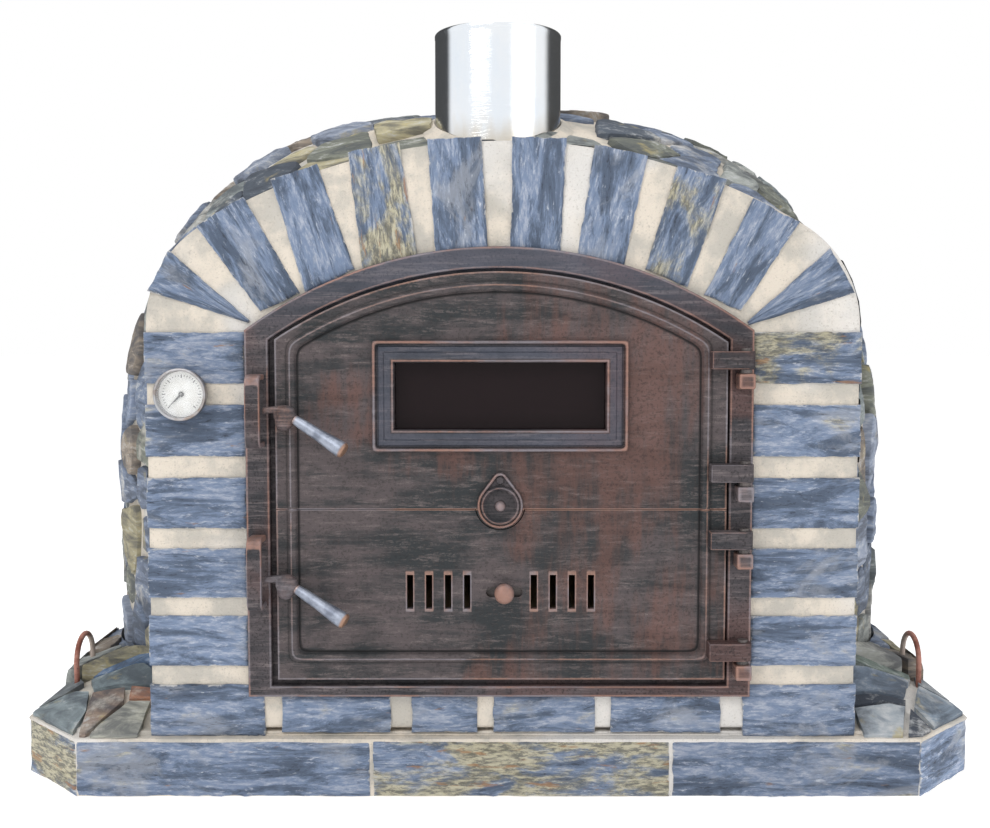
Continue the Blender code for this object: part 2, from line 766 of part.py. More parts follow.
def make_hinge_pins():
    """Each pin is riveted in its lug, stands on its knuckle with a shoulder and drops into it."""
    pins = []
    for number, foot in enumerate(LUG_BOTTOMS, 1):
        top = foot + LUG_HEIGHT
        shoulder = foot - HINGE_SHOULDER
        wide = PIN_RADIUS + 0.0025
        profile = [
            (0.0, top + 0.003), (wide - 0.001, top + 0.003), (wide - 0.001, top + GAP),
            (PIN_RADIUS, top + GAP), (PIN_RADIUS, foot - GAP), (wide, foot - GAP),
            (wide, shoulder + GAP), (PIN_RADIUS, shoulder + GAP),
            (PIN_RADIUS, shoulder - KNUCKLE_HEIGHT), (0.0, shoulder - KNUCKLE_HEIGHT),
        ]
        pin = turned(f"hinge_pin_{number}", profile, (HINGE_X, HINGE_Y, 0), steps=12, closed=False)
        pins.append(steel(pin))
    return pins


def seam_arc(radius, side):
    """The lobe's or the notch's arc below the seam, from one crossing of it to the other."""
    level = SEAM + side * SEAM_GAP / 2
    dip = math.degrees(math.asin((SPY_Z - level) / radius))
    return arc((SPY_X, SPY_Z), radius, 180 + dip, 360 - dip, 14)


def leaf_outlines():
    """The two leaves: one arched outline, parted at the seam round the spyhole's lobe."""
    whole = door_line(LEAF_LEFT, LEAF_RIGHT, LEAF_BOTTOM, LEAF_RADIUS)
    lobe = seam_arc(SPY_RADIUS + LOBE_MARGIN, 1)
    notch = seam_arc(SPY_RADIUS + LOBE_MARGIN + NOTCH_GAP, -1)
    above, below = SEAM + SEAM_GAP / 2, SEAM - SEAM_GAP / 2
    upper = [(LEAF_LEFT, above)] + lobe + [(LEAF_RIGHT, above)] + whole[2:]
    lower = [(LEAF_LEFT, LEAF_BOTTOM), (LEAF_RIGHT, LEAF_BOTTOM), (LEAF_RIGHT, below)]
    lower += notch[::-1] + [(LEAF_LEFT, below)]
    return upper, lower


def bead_line(grow):
    """The raised line round both leaves."""
    return door_line(
        LEAF_LEFT + BEAD_LEFT - grow, LEAF_RIGHT - BEAD_RIGHT + grow,
        LEAF_BOTTOM + BEAD_BOTTOM - grow, LEAF_RADIUS - BEAD_TOP + grow)


def make_leaf(name, outline, lugs, bead_cut, latch_height):
    leaf = plate(name, [outline], FRONT, LEAF_BACK)
    half = BEAD_WIDTH / 2
    bead = plate("bead", [bead_line(half), bead_line(-half)], FRONT - BEAD_PROUD, FRONT + 0.004)
    cut(bead, bead_cut)
    boolean(leaf, bead, "UNION", "MANIFOLD")     # EXACT leaves open edges where the bead is thin
    for foot in lugs:
        join(leaf, lug_shape("lug", foot, LUG_ROOT_X, FRONT + 0.004, LUG_HEIGHT))
        cut(leaf, pin_hole(foot, LUG_HEIGHT))
    boss = rod("boss", BOSS_RADIUS, (LATCH_X, FRONT - BOSS_PROUD, latch_height),
               (LATCH_X, FRONT + 0.003, latch_height))
    join(leaf, boss)
    cut(leaf, across_leaf("spindle_hole", SPINDLE_RADIUS + GAP, LATCH_X, latch_height))
    return cast_iron(leaf)


def across_leaf(name, radius, x, z, depth=None):
    """A round hole through the leaf, or down to a depth from its back."""
    start = FRONT - 0.02 if depth is None else LEAF_BACK - depth
    return rod(name, radius, (x, start, z), (x, LEAF_BACK + 0.02, z), 12)


def make_upper_leaf(outline):
    below_seam = box("below", (-1, FRONT - 1, -1), (1, FRONT + 1, SEAM + SEAM_GAP))
    leaf = make_leaf("upper_leaf", outline, LUG_BOTTOMS[:2], below_seam, LATCH_HEIGHTS[0])
    outer = window_outline(WINDOW_BORDER)
    join(leaf, plate("window_bead", [outer], FRONT - WINDOW_PROUD, FRONT + 0.004))
    cut(leaf, plate("window_hole", [window_outline(0.0)], FRONT - 0.02, LEAF_BACK + 0.02))
    cut(leaf, across_leaf("spyhole", SPY_HOLE_RADIUS, SPY_X, SPY_Z))
    cut(leaf, across_leaf("spy_pin_hole", SPY_PIN_RADIUS + GAP, SPY_X, SPY_PIVOT_Z))
    for x, z in screw_places():
        cut(leaf, across_leaf("screw_hole", SCREW_RADIUS + GAP, x, z, SCREW_DEPTH + GAP))
    return leaf


def window_outline(grow):
    half_x, half_z = (half + grow for half in WINDOW_HALF)
    return rectangle(WINDOW_X - half_x, WINDOW_X + half_x, WINDOW_Z - half_z, WINDOW_Z + half_z)


def screw_places():
    half_x, half_z = (half + RETAINER_BORDER - SCREW_INSET for half in WINDOW_HALF)
    return [(WINDOW_X + i * half_x, WINDOW_Z + k * half_z) for i in (-1, 1) for k in (-1, 1)]


def make_window():
    """Behind the leaf: a gasket, the glass, and a tray that clamps them with four screws."""
    seal_front = LEAF_BACK + GAP
    seal_back = seal_front + SEAL_THICKNESS
    glass_front = seal_back + GAP
    glass_back = glass_front + GLASS_THICKNESS
    tray_front = glass_back + GAP
    tray_back = tray_front + RETAINER_WALL
    seal = plate(
        "glass_seal", [window_outline(GLASS_OVERLAP), window_outline(GLASS_OVERLAP - SEAL_WIDTH)],
        seal_front, seal_back)
    finish(seal, (0.75, 0.72, 0.65), 1.0)
    glass = plate("window_glass", [window_outline(GLASS_OVERLAP)], glass_front, glass_back)
    finish(glass, (0.05, 0.04, 0.04), 0.05, 0.0, 0.35)
    tray = plate(
        "glass_retainer", [window_outline(RETAINER_BORDER), window_outline(0.0)],
        seal_front, tray_back)
    pocket = plate(
        "pocket", [window_outline(GLASS_OVERLAP + GAP)], FRONT, tray_front)
    cut(tray, pocket)
    pieces = [seal, glass, steel(tray)]
    for number, (x, z) in enumerate(screw_places(), 1):
        cut(tray, across_leaf("screw_hole", SCREW_RADIUS + GAP, x, z, SCREW_DEPTH))
        head = tray_back + GAP
        profile = [
            (0.0, head + SCREW_HEAD), (SCREW_HEAD_RADIUS * 0.7, head + SCREW_HEAD),
            (SCREW_HEAD_RADIUS, head), (SCREW_RADIUS, head),
            (SCREW_RADIUS, LEAF_BACK - SCREW_DEPTH), (0.0, LEAF_BACK - SCREW_DEPTH),
        ]
        profile = [(radius, depth - FRONT) for radius, depth in profile]
        screw = turned(
            f"retainer_screw_{number}", profile, (x, FRONT, z), (0, 1, 0), 8, closed=False)
        pieces.append(steel(screw))
    return pieces


def make_lower_leaf(outline):
    above_seam = box("above", (-1, FRONT - 1, SEAM - SEAM_GAP), (1, FRONT + 1, 1))
    leaf = make_leaf("lower_leaf", outline, LUG_BOTTOMS[2:], above_seam, LATCH_HEIGHTS[1])
    for x in slot_places():
        slot = box("slot", (x - SLOT_WIDTH / 2, FRONT - 0.02, SLOT_BOTTOM),
                   (x + SLOT_WIDTH / 2, LEAF_BACK + 0.02, SLOT_TOP))
        cut(leaf, slot)
    outline = rounded_slot((KNOB_X, KNOB_Z), KNOB_SLOT_HALF, KNOB_SLOT_HEIGHT / 2)
    cut(leaf, plate("knob_slot", [outline], FRONT - 0.02, LEAF_BACK + 0.02))
    return leaf


def slot_places():
    steps = [SLOT_INNER + SLOT_PITCH * i for i in range(SLOTS_EACH_SIDE)]
    return [SLOT_X - step for step in steps] + [SLOT_X + step for step in steps]


def make_shutter():
    """A slotted plate slides behind the air slots; its knob comes out through the leaf."""
    front = LEAF_BACK + GAP
    back = front + SHUTTER_THICKNESS
    reach = SLOT_INNER + SLOT_PITCH * (SLOTS_EACH_SIDE - 0.5) + SLOT_WIDTH
    low, high = SLOT_BOTTOM - SHUTTER_MARGIN, SLOT_TOP + SHUTTER_MARGIN
    outlines = [rectangle(SLOT_X - reach, SLOT_X + reach, low, high)]
    for x in slot_places():
        outlines.append(rectangle(x - SLOT_WIDTH / 2, x + SLOT_WIDTH / 2, SLOT_BOTTOM, SLOT_TOP))
    hole = KNOB_NECK_RADIUS - 0.001
    outlines.append(arc((KNOB_X, KNOB_Z), hole + GAP, 0, 345, 23))
    shutter = steel(plate("shutter_plate", outlines, front, back))
    face = -0.016
    profile = [
        (0.0, back + 0.002 - FRONT), (hole, back + 0.002 - FRONT), (hole, front - FRONT - GAP),
        (KNOB_NECK_RADIUS, front - FRONT - GAP), (KNOB_NECK_RADIUS, -0.003),
        (KNOB_RADIUS * 0.8, -0.0035), (KNOB_RADIUS, -0.007), (KNOB_RADIUS * 0.8, -0.012),
        (KNOB_RADIUS * 0.4, face + 0.0008), (0.0, face),
    ]
    knob = turned("shutter_knob", profile, (KNOB_X, FRONT, KNOB_Z), (0, 1, 0), 16, closed=False)
    guides = []
    for name, sign, edge in (("upper", 1, high), ("lower", -1, low)):
        near, far = edge + sign * GAP, edge + sign * GUIDE_HEIGHT
        lip = edge - sign * GUIDE_LIP
        outline = [
            (front, near), (back + GAP, near), (back + GAP, lip),
            (back + GAP + GUIDE_WALL, lip), (back + GAP + GUIDE_WALL, far), (front, far),
        ]
        guide = plate(f"shutter_guide_{name}", [outline],
                      SLOT_X - reach - SLOT_PITCH / 2, SLOT_X + reach + SLOT_PITCH / 2, "YZ")
        guides.append(steel(guide))
    return [shutter, cast_iron(knob)], guides


def make_latch(name, height):
    """Hub with its tongue and spindle, the steel grip, and the nut behind the leaf."""
    block_back = FRONT - BOSS_PROUD - GAP
    block_front = FRONT - HUB_PROUD
    middle = (block_back + block_front) / 2
    hub = rod(f"{name}_latch", HUB_RADIUS, (LATCH_X, block_back, height),
              (LATCH_X, block_front, height))
    tip = KEEPER_X + TONGUE_GAP
    low, high = (height + rise for rise in TONGUE_RISE)
    outline = [
        (tip, low), (LATCH_X - HUB_RADIUS * 0.9, height), (LATCH_X, height - HUB_RADIUS * 0.5),
        (LATCH_X + HUB_RADIUS * 0.9, height + GRIP_RISE), (LATCH_X + HUB_RADIUS * 0.5, high),
        (tip, high),
    ]
    tongue = plate("tongue", [outline], middle - TONGUE_THICKNESS / 2, middle + TONGUE_THICKNESS / 2)
    drop, out = math.radians(GRIP_DROP_ANGLE), math.radians(GRIP_OUT_ANGLE)
    along = Vector((
        math.cos(drop) * math.cos(out), -math.sin(out), -math.sin(drop) * math.cos(out)))
    root = Vector((LATCH_X, middle, height + GRIP_RISE))
    socket = rod("socket", GRIP_RADII[0] + 0.0015, root, root + along * (GRIP_START - GAP), 20)
    spindle = rod("spindle", SPINDLE_RADIUS, (LATCH_X, middle, height),
                  (LATCH_X, LEAF_BACK + NUT_THICKNESS + 0.0015, height), 20)
    cast_iron(join(hub, tongue, socket, spindle))
    first, last = GRIP_RADII
    profile = [
        (0.0, GRIP_LENGTH), (last * 0.8, GRIP_LENGTH - 0.0005), (last, GRIP_LENGTH - 0.002),
        (last, GRIP_LENGTH - 0.006), (first, 0.0), (0.0, 0.0),
    ]
    grip = turned(f"{name}_grip", profile, root + along * GRIP_START, along, 16, closed=False)
    nut = rod(f"{name}_latch_nut", NUT_RADIUS, (LATCH_X, LEAF_BACK + GAP, height),
              (LATCH_X, LEAF_BACK + GAP + NUT_THICKNESS, height), 6)
    cut(nut, across_leaf("nut_hole", SPINDLE_RADIUS + GAP, LATCH_X, height))
    return [hub, steel(grip), steel(nut)]


def make_spyhole():
    """A dished cover hangs from a pin above it, in front of the hole."""
    r = SPY_RADIUS
    profile = [
        (0.0, -0.0015), (r - 0.001, -0.0015), (r, -0.0025), (r, -0.0045), (r - 0.0028, -0.005),
        (r - 0.0045, -0.0095), (r - 0.007, -0.0095), (r - 0.0095, -0.0065), (0.008, -0.006),
        (0.004, -0.017), (0.0, -0.019),
    ]
    cover = turned("spyhole_cover", profile, (SPY_X, FRONT, SPY_Z), (0, 1, 0), 28, closed=False)
    ear = arc((SPY_X, SPY_PIVOT_Z), SPY_EAR_RADIUS, 0, 180, 10)
    neck = SPY_RADIUS * 0.6
    ear += [(SPY_X - neck, SPY_Z + neck), (SPY_X - neck, SPY_Z), (SPY_X + neck, SPY_Z)]
    ear += [(SPY_X + neck, SPY_Z + neck)]
    join(cover, plate("ear", [ear], FRONT - 0.005, FRONT - 0.0015))
    cut(cover, across_leaf("ear_hole", SPY_PIN_RADIUS + GAP, SPY_X, SPY_PIVOT_Z))
    profile = [
        (0.0, LEAF_THICKNESS), (SPY_PIN_RADIUS, LEAF_THICKNESS), (SPY_PIN_RADIUS, -0.0053),
        (0.0045, -0.0053), (0.0035, -0.0070), (0.0, -0.0073),
    ]
    pin = turned("spyhole_pin", profile, (SPY_X, FRONT, SPY_PIVOT_Z), (0, 1, 0), 12, closed=False)
    return cast_iron(cover), steel(pin)


# ------------------------------------------------------------------ thermometer


def make_thermometer():
    """A cup with a turned-in bezel holds the dial and glass; the stem reaches into the oven."""
    centre = (GAUGE_X, FACING_FRONT - GAP, GAUGE_Z)
    r, wall, deep, lip = GAUGE_RADIUS, GAUGE_WALL, GAUGE_DEPTH, GAUGE_BEZEL
    hole = STEM_RADIUS + GAP
    inner = r - wall
    profile = [
        (hole, 0.0), (r, 0.0), (r, -deep), (r - lip, -deep), (r - lip, wall - deep),
        (inner, wall - deep), (inner, -wall), (hole, -wall),
    ]
    case = turned("thermometer_case", profile, centre, (0, 1, 0), 24)
    finish(case, (0.80, 0.80, 0.80), 0.2, 1.0)
    spindle = 0.001
    disc = inner - GAP
    dial = turned(
        "thermometer_dial",
        [(spindle + GAP, -0.0032), (disc, -0.0032), (disc, -0.0041), (spindle + GAP, -0.0041)],
        centre, (0, 1, 0), 24)
    finish(dial, (0.92, 0.92, 0.90), 0.4)
    glass_back = wall - deep + GAP + 0.0015
    profile = [(0.0, glass_back), (disc, glass_back), (disc, glass_back - 0.0015)]
    profile.append((0.0, glass_back - 0.0015))
    glass = turned("thermometer_glass", profile, centre, (0, 1, 0), 24, closed=False)
    finish(glass, (0.9, 0.9, 0.9), 0.02, 0.0, 0.2)
    end = FRONT + STEM_END - centre[1]
    profile = [
        (0.0, end), (STEM_RADIUS, end - 0.002), (STEM_RADIUS, -0.0027), (spindle, -0.0027),
        (spindle, -0.0075), (0.0, -0.0075),
    ]
    steel(turned("thermometer_stem", profile, centre, (0, 1, 0), 12, closed=False))
    turn = math.radians(90 - NEEDLE_REST)
    tip = (GAUGE_X + NEEDLE_LENGTH * math.cos(turn), GAUGE_Z + NEEDLE_LENGTH * math.sin(turn))
    hub = arc((GAUGE_X, GAUGE_Z), 0.003, 90 - NEEDLE_REST + 25, 450 - NEEDLE_REST - 25, 18)
    bore = arc((GAUGE_X, GAUGE_Z), spindle + GAP, 0, 330, 11)
    needle = plate("thermometer_needle", [hub + [tip], bore], centre[1] - 0.0062, centre[1] - 0.0054)
    return finish(needle, (0.03, 0.03, 0.03), 0.4)


# ------------------------------------------------------------------ joints


def hang(name, place_at, pieces, parent=None):
    """An empty on a joint's axis, which carries its pieces."""
    pivot = bpy.data.objects.new(name, None)
    pivot.empty_display_size = 0.03
    OVEN.objects.link(pivot)
    pivot.location = place_at
    bpy.context.view_layer.update()
    for piece in pieces:
        piece.parent = pivot
        piece.matrix_parent_inverse = pivot.matrix_world.inverted()
    if parent is not None:
        pivot.parent = parent
        pivot.matrix_parent_inverse = parent.matrix_world.inverted()
    bpy.context.view_layer.update()
    return pivot


def build():
    slab = make_base()
    make_paving()
    make_loops(slab)
    make_arch()
    make_dome()
    make_flue()
    make_frame()
    needle = make_thermometer()
    upper_outline, lower_outline = leaf_outlines()
    upper_leaf = make_upper_leaf(upper_outline)
    lower_leaf = make_lower_leaf(lower_outline)
    pins = make_hinge_pins()
    cover, cover_pin = make_spyhole()
    shutter, guides = make_shutter()
    upper_latch, lower_latch = (
        make_latch(name, height) for name, height in zip(("upper", "lower"), LATCH_HEIGHTS))

    hinge = (HINGE_X, HINGE_Y, SEAM)
    upper = hang("upper_leaf_hinge", hinge, [upper_leaf, *make_window(), *pins[:2], cover_pin])
    lower = hang("lower_leaf_hinge", hinge, [lower_leaf, *guides, *pins[2:]])
    hang("upper_latch_turn", (LATCH_X, FRONT, LATCH_HEIGHTS[0]), upper_latch, upper)
    hang("lower_latch_turn", (LATCH_X, FRONT, LATCH_HEIGHTS[1]), lower_latch, lower)
    hang("spyhole_swing", (SPY_X, FRONT, SPY_PIVOT_Z), [cover], upper)
    hang("shutter_slide", (KNOB_X, FRONT, KNOB_Z), shutter, lower)
    hang("needle_turn", (GAUGE_X, FRONT, GAUGE_Z), [needle])


build()
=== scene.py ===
# %% [markdown]
# # Wood fired pizza oven
# A domed brick oven stands on a slab. Its front is an arch of split slate and pale mortar, and
# its cast iron door has an upper and a lower leaf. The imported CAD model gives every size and
# place, and this file builds the finished look round it. Shapes are worked out as whole arrays of
# points, because then each surface is one formula that can be read and changed.

import math

import bmesh
import bpy
import numpy as np
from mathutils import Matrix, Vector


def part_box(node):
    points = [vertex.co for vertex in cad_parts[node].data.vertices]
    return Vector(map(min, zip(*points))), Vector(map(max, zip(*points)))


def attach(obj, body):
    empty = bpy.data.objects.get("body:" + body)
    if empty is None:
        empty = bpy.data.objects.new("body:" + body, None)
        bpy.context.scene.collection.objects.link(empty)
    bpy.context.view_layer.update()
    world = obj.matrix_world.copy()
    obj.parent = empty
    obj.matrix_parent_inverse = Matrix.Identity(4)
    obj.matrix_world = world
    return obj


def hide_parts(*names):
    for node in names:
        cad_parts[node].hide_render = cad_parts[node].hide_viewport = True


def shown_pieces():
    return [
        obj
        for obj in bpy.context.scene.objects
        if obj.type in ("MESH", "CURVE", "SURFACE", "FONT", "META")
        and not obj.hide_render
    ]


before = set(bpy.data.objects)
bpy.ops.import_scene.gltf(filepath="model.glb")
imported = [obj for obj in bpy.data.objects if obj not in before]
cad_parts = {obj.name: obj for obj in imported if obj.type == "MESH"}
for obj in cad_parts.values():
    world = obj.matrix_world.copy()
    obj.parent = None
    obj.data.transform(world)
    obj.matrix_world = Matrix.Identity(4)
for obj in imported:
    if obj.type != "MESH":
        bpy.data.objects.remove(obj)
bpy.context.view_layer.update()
rng = np.random.default_rng(7)
print("nodes in the frame:", len(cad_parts))

# %% [markdown]
# ## Meshes from arrays
# A surface is a grid of points with four-sided faces between neighbours. A closed ring joins its
# last column to its first. One helper makes the faces and another turns the arrays into a piece
# that rides on a body. Bump-like unevenness in the shapes comes from value noise: random numbers
# on a lattice, blended smoothly between its corners.

# %% Helpers for meshes


def grid_faces(rows, columns, round_rows=False, round_columns=False):
    """Four-sided faces of a grid whose point (i, j) has the number i * columns + j."""
    i, j = np.meshgrid(
        np.arange(rows - (not round_rows)), np.arange(columns - (not round_columns)), indexing="ij")
    k, m = (i + 1) % rows, (j + 1) % columns
    corners = [i * columns + j, i * columns + m, k * columns + m, k * columns + j]
    return np.stack(corners, -1).reshape(-1, 4).tolist()


def capped(rows, columns, inside_out=False):
    """Faces of a tube of closed rings, with one face over each end."""
    first, last = list(range(columns)), list(range((rows - 1) * columns, rows * columns))
    ends = [first, last[::-1]] if inside_out else [first[::-1], last]
    return grid_faces(rows, columns, False, True) + ends


def lattice(cell, seed):
    """A random number from 0 to 1 for each whole-number cell, from scrambled bits."""
    h = (cell[..., 0] * 374761393 + cell[..., 1] * 668265263 + cell[..., 2] * 1440662683
         + seed * 974634777) & 0xFFFFFFFF
    h = ((h ^ (h >> 13)) * 1274126177) & 0xFFFFFFFF
    return ((h ^ (h >> 16)) & 0xFFFFFF) / 0xFFFFFF


def unevenness(points, size, seed=0, octaves=3):
    """Smooth noise from -1 to 1: lattice values blended by s(t) = 3t^2 - 2t^3, in halving sizes."""
    total, weight = 0.0, 0.0
    for octave in range(octaves):
        p = np.asarray(points, float) / size * 2**octave
        cell = np.floor(p).astype(np.int64)
        t = p - cell
        t = t * t * (3 - 2 * t)
        value = 0.0
        for corner in np.ndindex(2, 2, 2):
            share = np.prod(np.where(np.array(corner) == 1, t, 1 - t), axis=-1)
            value = value + share * lattice(cell + np.array(corner), seed + octave)
        total = total + (2 * value - 1) * 0.5**octave
        weight += 0.5**octave
    return total / weight


def piece(name, points, faces, material, body, slot, stands_for=(), smooth=30, **attributes):
    """A mesh object made from arrays, riding on a body. Attributes are one value for each point."""
    mesh = bpy.data.meshes.new(name)
    mesh.from_pydata(np.asarray(points, float).reshape(-1, 3).tolist(), [], faces)
    for key, values in attributes.items():
        values = np.asarray(values, np.float32)
        kind, field = ("FLOAT", "value") if values.ndim == 1 else ("FLOAT_VECTOR", "vector")
        mesh.attributes.new(key, kind, "POINT").data.foreach_set(field, values.ravel())
    made = bpy.data.objects.new(name, mesh)
    bpy.context.scene.collection.objects.link(made)
    mesh.materials.append(material)
    mesh.shade_smooth()
    mesh.set_sharp_from_angle(angle=math.radians(smooth))
    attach(made, body)
    if stands_for:
        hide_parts(*stands_for)
    return made


def carve(made, points, faces, operation="DIFFERENCE"):
    """Cuts a closed shape from an object, or keeps only what lies in it, and applies the change."""
    mesh = bpy.data.meshes.new("cutter")
    mesh.from_pydata(np.asarray(points, float).reshape(-1, 3).tolist(), [], faces)
    cutter = bpy.data.objects.new("cutter", mesh)
    bpy.context.scene.collection.objects.link(cutter)
    tidy(cutter)
    change = made.modifiers.new("carve", "BOOLEAN")
    change.operation, change.object, change.solver = operation, cutter, "EXACT"
    bpy.context.view_layer.update()
    carved = bpy.data.meshes.new_from_object(
        made.evaluated_get(bpy.context.evaluated_depsgraph_get()))
    made.modifiers.clear()
    made.data = carved
    bpy.data.objects.remove(cutter)
    return made


def prism(outline, low, high):
    """An outline of (x, z) points drawn along Y between two depths, with flat ends."""
    outline = np.asarray(outline, float)
    n = len(outline)
    points = np.concatenate([np.insert(outline, 1, y, axis=1) for y in (low, high)])
    sides = [[j, (j + 1) % n, n + (j + 1) % n, n + j] for j in range(n)]
    return points, sides + [list(range(n))[::-1], list(range(n, 2 * n))]


def turned(profile, centre, along=(0, 0, 1), steps=32):
    """A profile of (radius, distance) turned round a line; radius 0 closes on a pole.

    Point = centre + distance * along + radius * (cos a * side + sin a * other side).
    """
    profile, along = np.asarray(profile, float), np.asarray(along, float)
    along = along / np.linalg.norm(along)
    side = np.cross(along, (0.0, 0.0, 1.0) if abs(along[2]) < 0.9 else (1.0, 0.0, 0.0))
    side /= np.linalg.norm(side)
    other = np.cross(along, side)
    turn = np.arange(steps) * 2 * np.pi / steps
    spoke = np.cos(turn)[:, None] * side + np.sin(turn)[:, None] * other
    points = (np.asarray(centre, float) + profile[:, 1, None, None] * along
              + profile[:, 0, None, None] * spoke)
    closed = profile[0, 0] > 0
    faces = grid_faces(len(profile), steps, closed, True)
    return points.reshape(-1, 3), faces


def together(*bodies):
    """Several closed bodies as one set of points and faces."""
    points, faces, first = [], [], 0
    for body_points, body_faces in bodies:
        body_points = np.asarray(body_points).reshape(-1, 3)
        faces += [[k + first for k in face] for face in body_faces]
        points.append(body_points)
        first += len(body_points)
    return np.concatenate(points), faces


def tidy(made):
    """Welds doubled points and turns all faces of a closed body outwards."""
    shape = bmesh.new()
    shape.from_mesh(made.data)
    bmesh.ops.remove_doubles(shape, verts=shape.verts, dist=1e-6)
    bmesh.ops.dissolve_degenerate(shape, dist=1e-7, edges=shape.edges)
    bmesh.ops.recalc_face_normals(shape, faces=shape.faces)
    shape.to_mesh(made.data)
    shape.free()
    return made


# %% [markdown]
# ## Paint as expressions
# A finish is a node tree. Wrapping each output in a small class lets the tree be written as sums,
# so `pale * 0.4 + 0.2` adds the Math nodes. Every other node comes from one method that sets the
# node's options first and its sockets after.

# %% Helpers for materials


class Wire:
    """One output of a shader node. Sums with it add Math nodes."""

    def __init__(self, paint, socket):
        self.paint, self.socket = paint, socket

    def sum(self, operation, *others):
        return self.paint.node("Math", {"operation": operation}, (self, *others))

    def __add__(self, other):
        return self.sum("ADD", other)

    def __sub__(self, other):
        return self.sum("SUBTRACT", other)

    def __rsub__(self, other):
        return self.paint.node("Math", {"operation": "SUBTRACT"}, (other, self))

    def __mul__(self, other):
        return self.sum("MULTIPLY", other)

    __radd__, __rmul__ = __add__, __mul__


class Paint:
    """A material whose Principled shader is fed by expressions."""

    def __init__(self, name, **constants):
        self.material = bpy.data.materials.new(name)
        self.material.use_nodes = True
        self.tree = self.material.node_tree
        self.shader = self.tree.nodes["Principled BSDF"]
        for key, value in constants.items():
            self.shader.inputs[key.replace("_", " ")].default_value = value

    def node(self, kind, settings=(), sockets=(), output=0):
        """Any node: its options are set first, then its sockets by place or name."""
        made = self.tree.nodes.new("ShaderNode" + kind)
        for key, value in dict(settings).items():
            setattr(made, key, value)
        items = sockets.items() if isinstance(sockets, dict) else enumerate(sockets)
        for key, value in items:
            if isinstance(value, Wire):
                self.tree.links.new(value.socket, made.inputs[key])
            else:
                made.inputs[key].default_value = value
        return Wire(self, made.outputs[output])

    def place(self, scale=(1, 1, 1), attribute=None):
        """Object coordinates, or an attribute, times a scale for each axis."""
        where = (self.node("Attribute", {"attribute_name": attribute}, (), "Vector") if attribute
                 else self.node("TexCoord", (), (), "Object"))
        return self.node("VectorMath", {"operation": "MULTIPLY"}, (where, scale))

    def value(self, attribute):
        return self.node("Attribute", {"attribute_name": attribute}, (), "Fac")

    def noise(self, where, scale, detail=6.0, rough=0.6, bend=0.0):
        return self.node("TexNoise", (), {
            "Vector": where, "Scale": scale, "Detail": detail, "Roughness": rough,
            "Distortion": bend})

    def step(self, value, low, high):
        """0 below low, 1 above high and smooth between."""
        return self.node("MapRange", {"interpolation_type": "SMOOTHSTEP"}, {
            "Value": value, "From Min": low, "From Max": high})

    def mix(self, share, first, second, blend="MIX"):
        first, second = ((*c, 1.0) if isinstance(c, tuple) else c for c in (first, second))
        return self.node("Mix", {"data_type": "RGBA", "blend_type": blend},
                         {0: share, 6: first, 7: second}, 2)

    def over(self, colour, tone, value, low, high, share=1.0):
        """Lays a tone over a colour where a value goes from low to high."""
        mask = self.step(value, low, high)
        return self.mix(mask if share == 1.0 else mask * share, colour, tone)

    def bump(self, height, distance, strength=1.0):
        return self.node("Bump", (), {"Height": height, "Distance": distance, "Strength": strength})

    def done(self, **links):
        for key, wire in links.items():
            self.tree.links.new(wire.socket, self.shader.inputs[key.replace("_", " ")])
        return self.material


# %% [markdown]
# ## Slate and mortar finishes
# Split slate shows long streaks along its bed, from dark blue-grey to pale lavender, with rusty
# and ochre stains where iron has weathered out. Each slate carries its own grain directions as an
# attribute in metres, so the streaks run along each stone whichever way it is laid. Two more
# values say how light and how stained that stone is.

# %% Slate
def slate_finish():
    paint = Paint("split_slate", Specular_IOR_Level=0.3)
    long = paint.place((10.0, 48.0, 12.0), "grain")
    light, stain, rim = paint.value("light"), paint.value("stain"), paint.value("rim")
    broad = paint.noise(long, 1.0, 9.0, 0.74, 0.5)
    threads = paint.noise(paint.place((60.0, 240.0, 60.0), "grain"), 1.0, 6.0, 0.78, 0.3)
    patches = paint.noise(paint.place((9.0, 17.0, 9.0), "grain"), 1.0, 6.0, 0.65, 0.8)
    flakes = paint.noise(paint.place((60.0, 130.0, 60.0), "grain"), 1.0, 5.0, 0.7, 0.6)
    colour = paint.mix(paint.step(broad, 0.41, 0.56), (0.078, 0.104, 0.154), (0.176, 0.233, 0.345))
    colour = paint.over(colour, (0.33, 0.35, 0.39), patches, 0.52, 0.64, 0.55)
    colour = paint.over(colour, (0.38, 0.415, 0.50),
                        broad * 0.5 + threads * 0.5, 0.50, 0.60, 0.85)
    colour = paint.over(colour, (0.66, 0.68, 0.72), threads, 0.60, 0.70, 0.5)
    colour = paint.over(colour, (0.030, 0.036, 0.052),
                        threads * 0.6 + broad * 0.4, 0.445, 0.37, 0.8)
    ochre = paint.step(patches * 0.6 + broad * 0.4 + stain * 0.24, 0.60, 0.70)
    colour = paint.mix(ochre * 0.8, colour,
                       paint.mix(paint.step(threads, 0.42, 0.58), (0.14, 0.125, 0.075),
                                 (0.50, 0.45, 0.29)))
    rust = paint.step(paint.noise(long, 2.2, 4.0, 0.6) + stain * 0.12, 0.68, 0.76)
    colour = paint.mix(rust * 0.7, colour, (0.30, 0.155, 0.07))
    # mortar rubbed over the edges of each stone
    smear = paint.step(rim + flakes * 0.016, 0.0086, 0.0064)
    colour = paint.mix(smear * 0.7, colour, (0.62, 0.60, 0.57))
    shade = paint.node("CombineColor", (), (light, light, light))
    colour = paint.mix(1.0, colour, shade, "MULTIPLY")
    height = broad * 0.5 + threads * 0.3 + flakes * 0.2
    return paint.done(Base_Color=colour, Roughness=threads * 0.25 + 0.55,
                      Normal=paint.bump(height, 0.0045, 0.85))


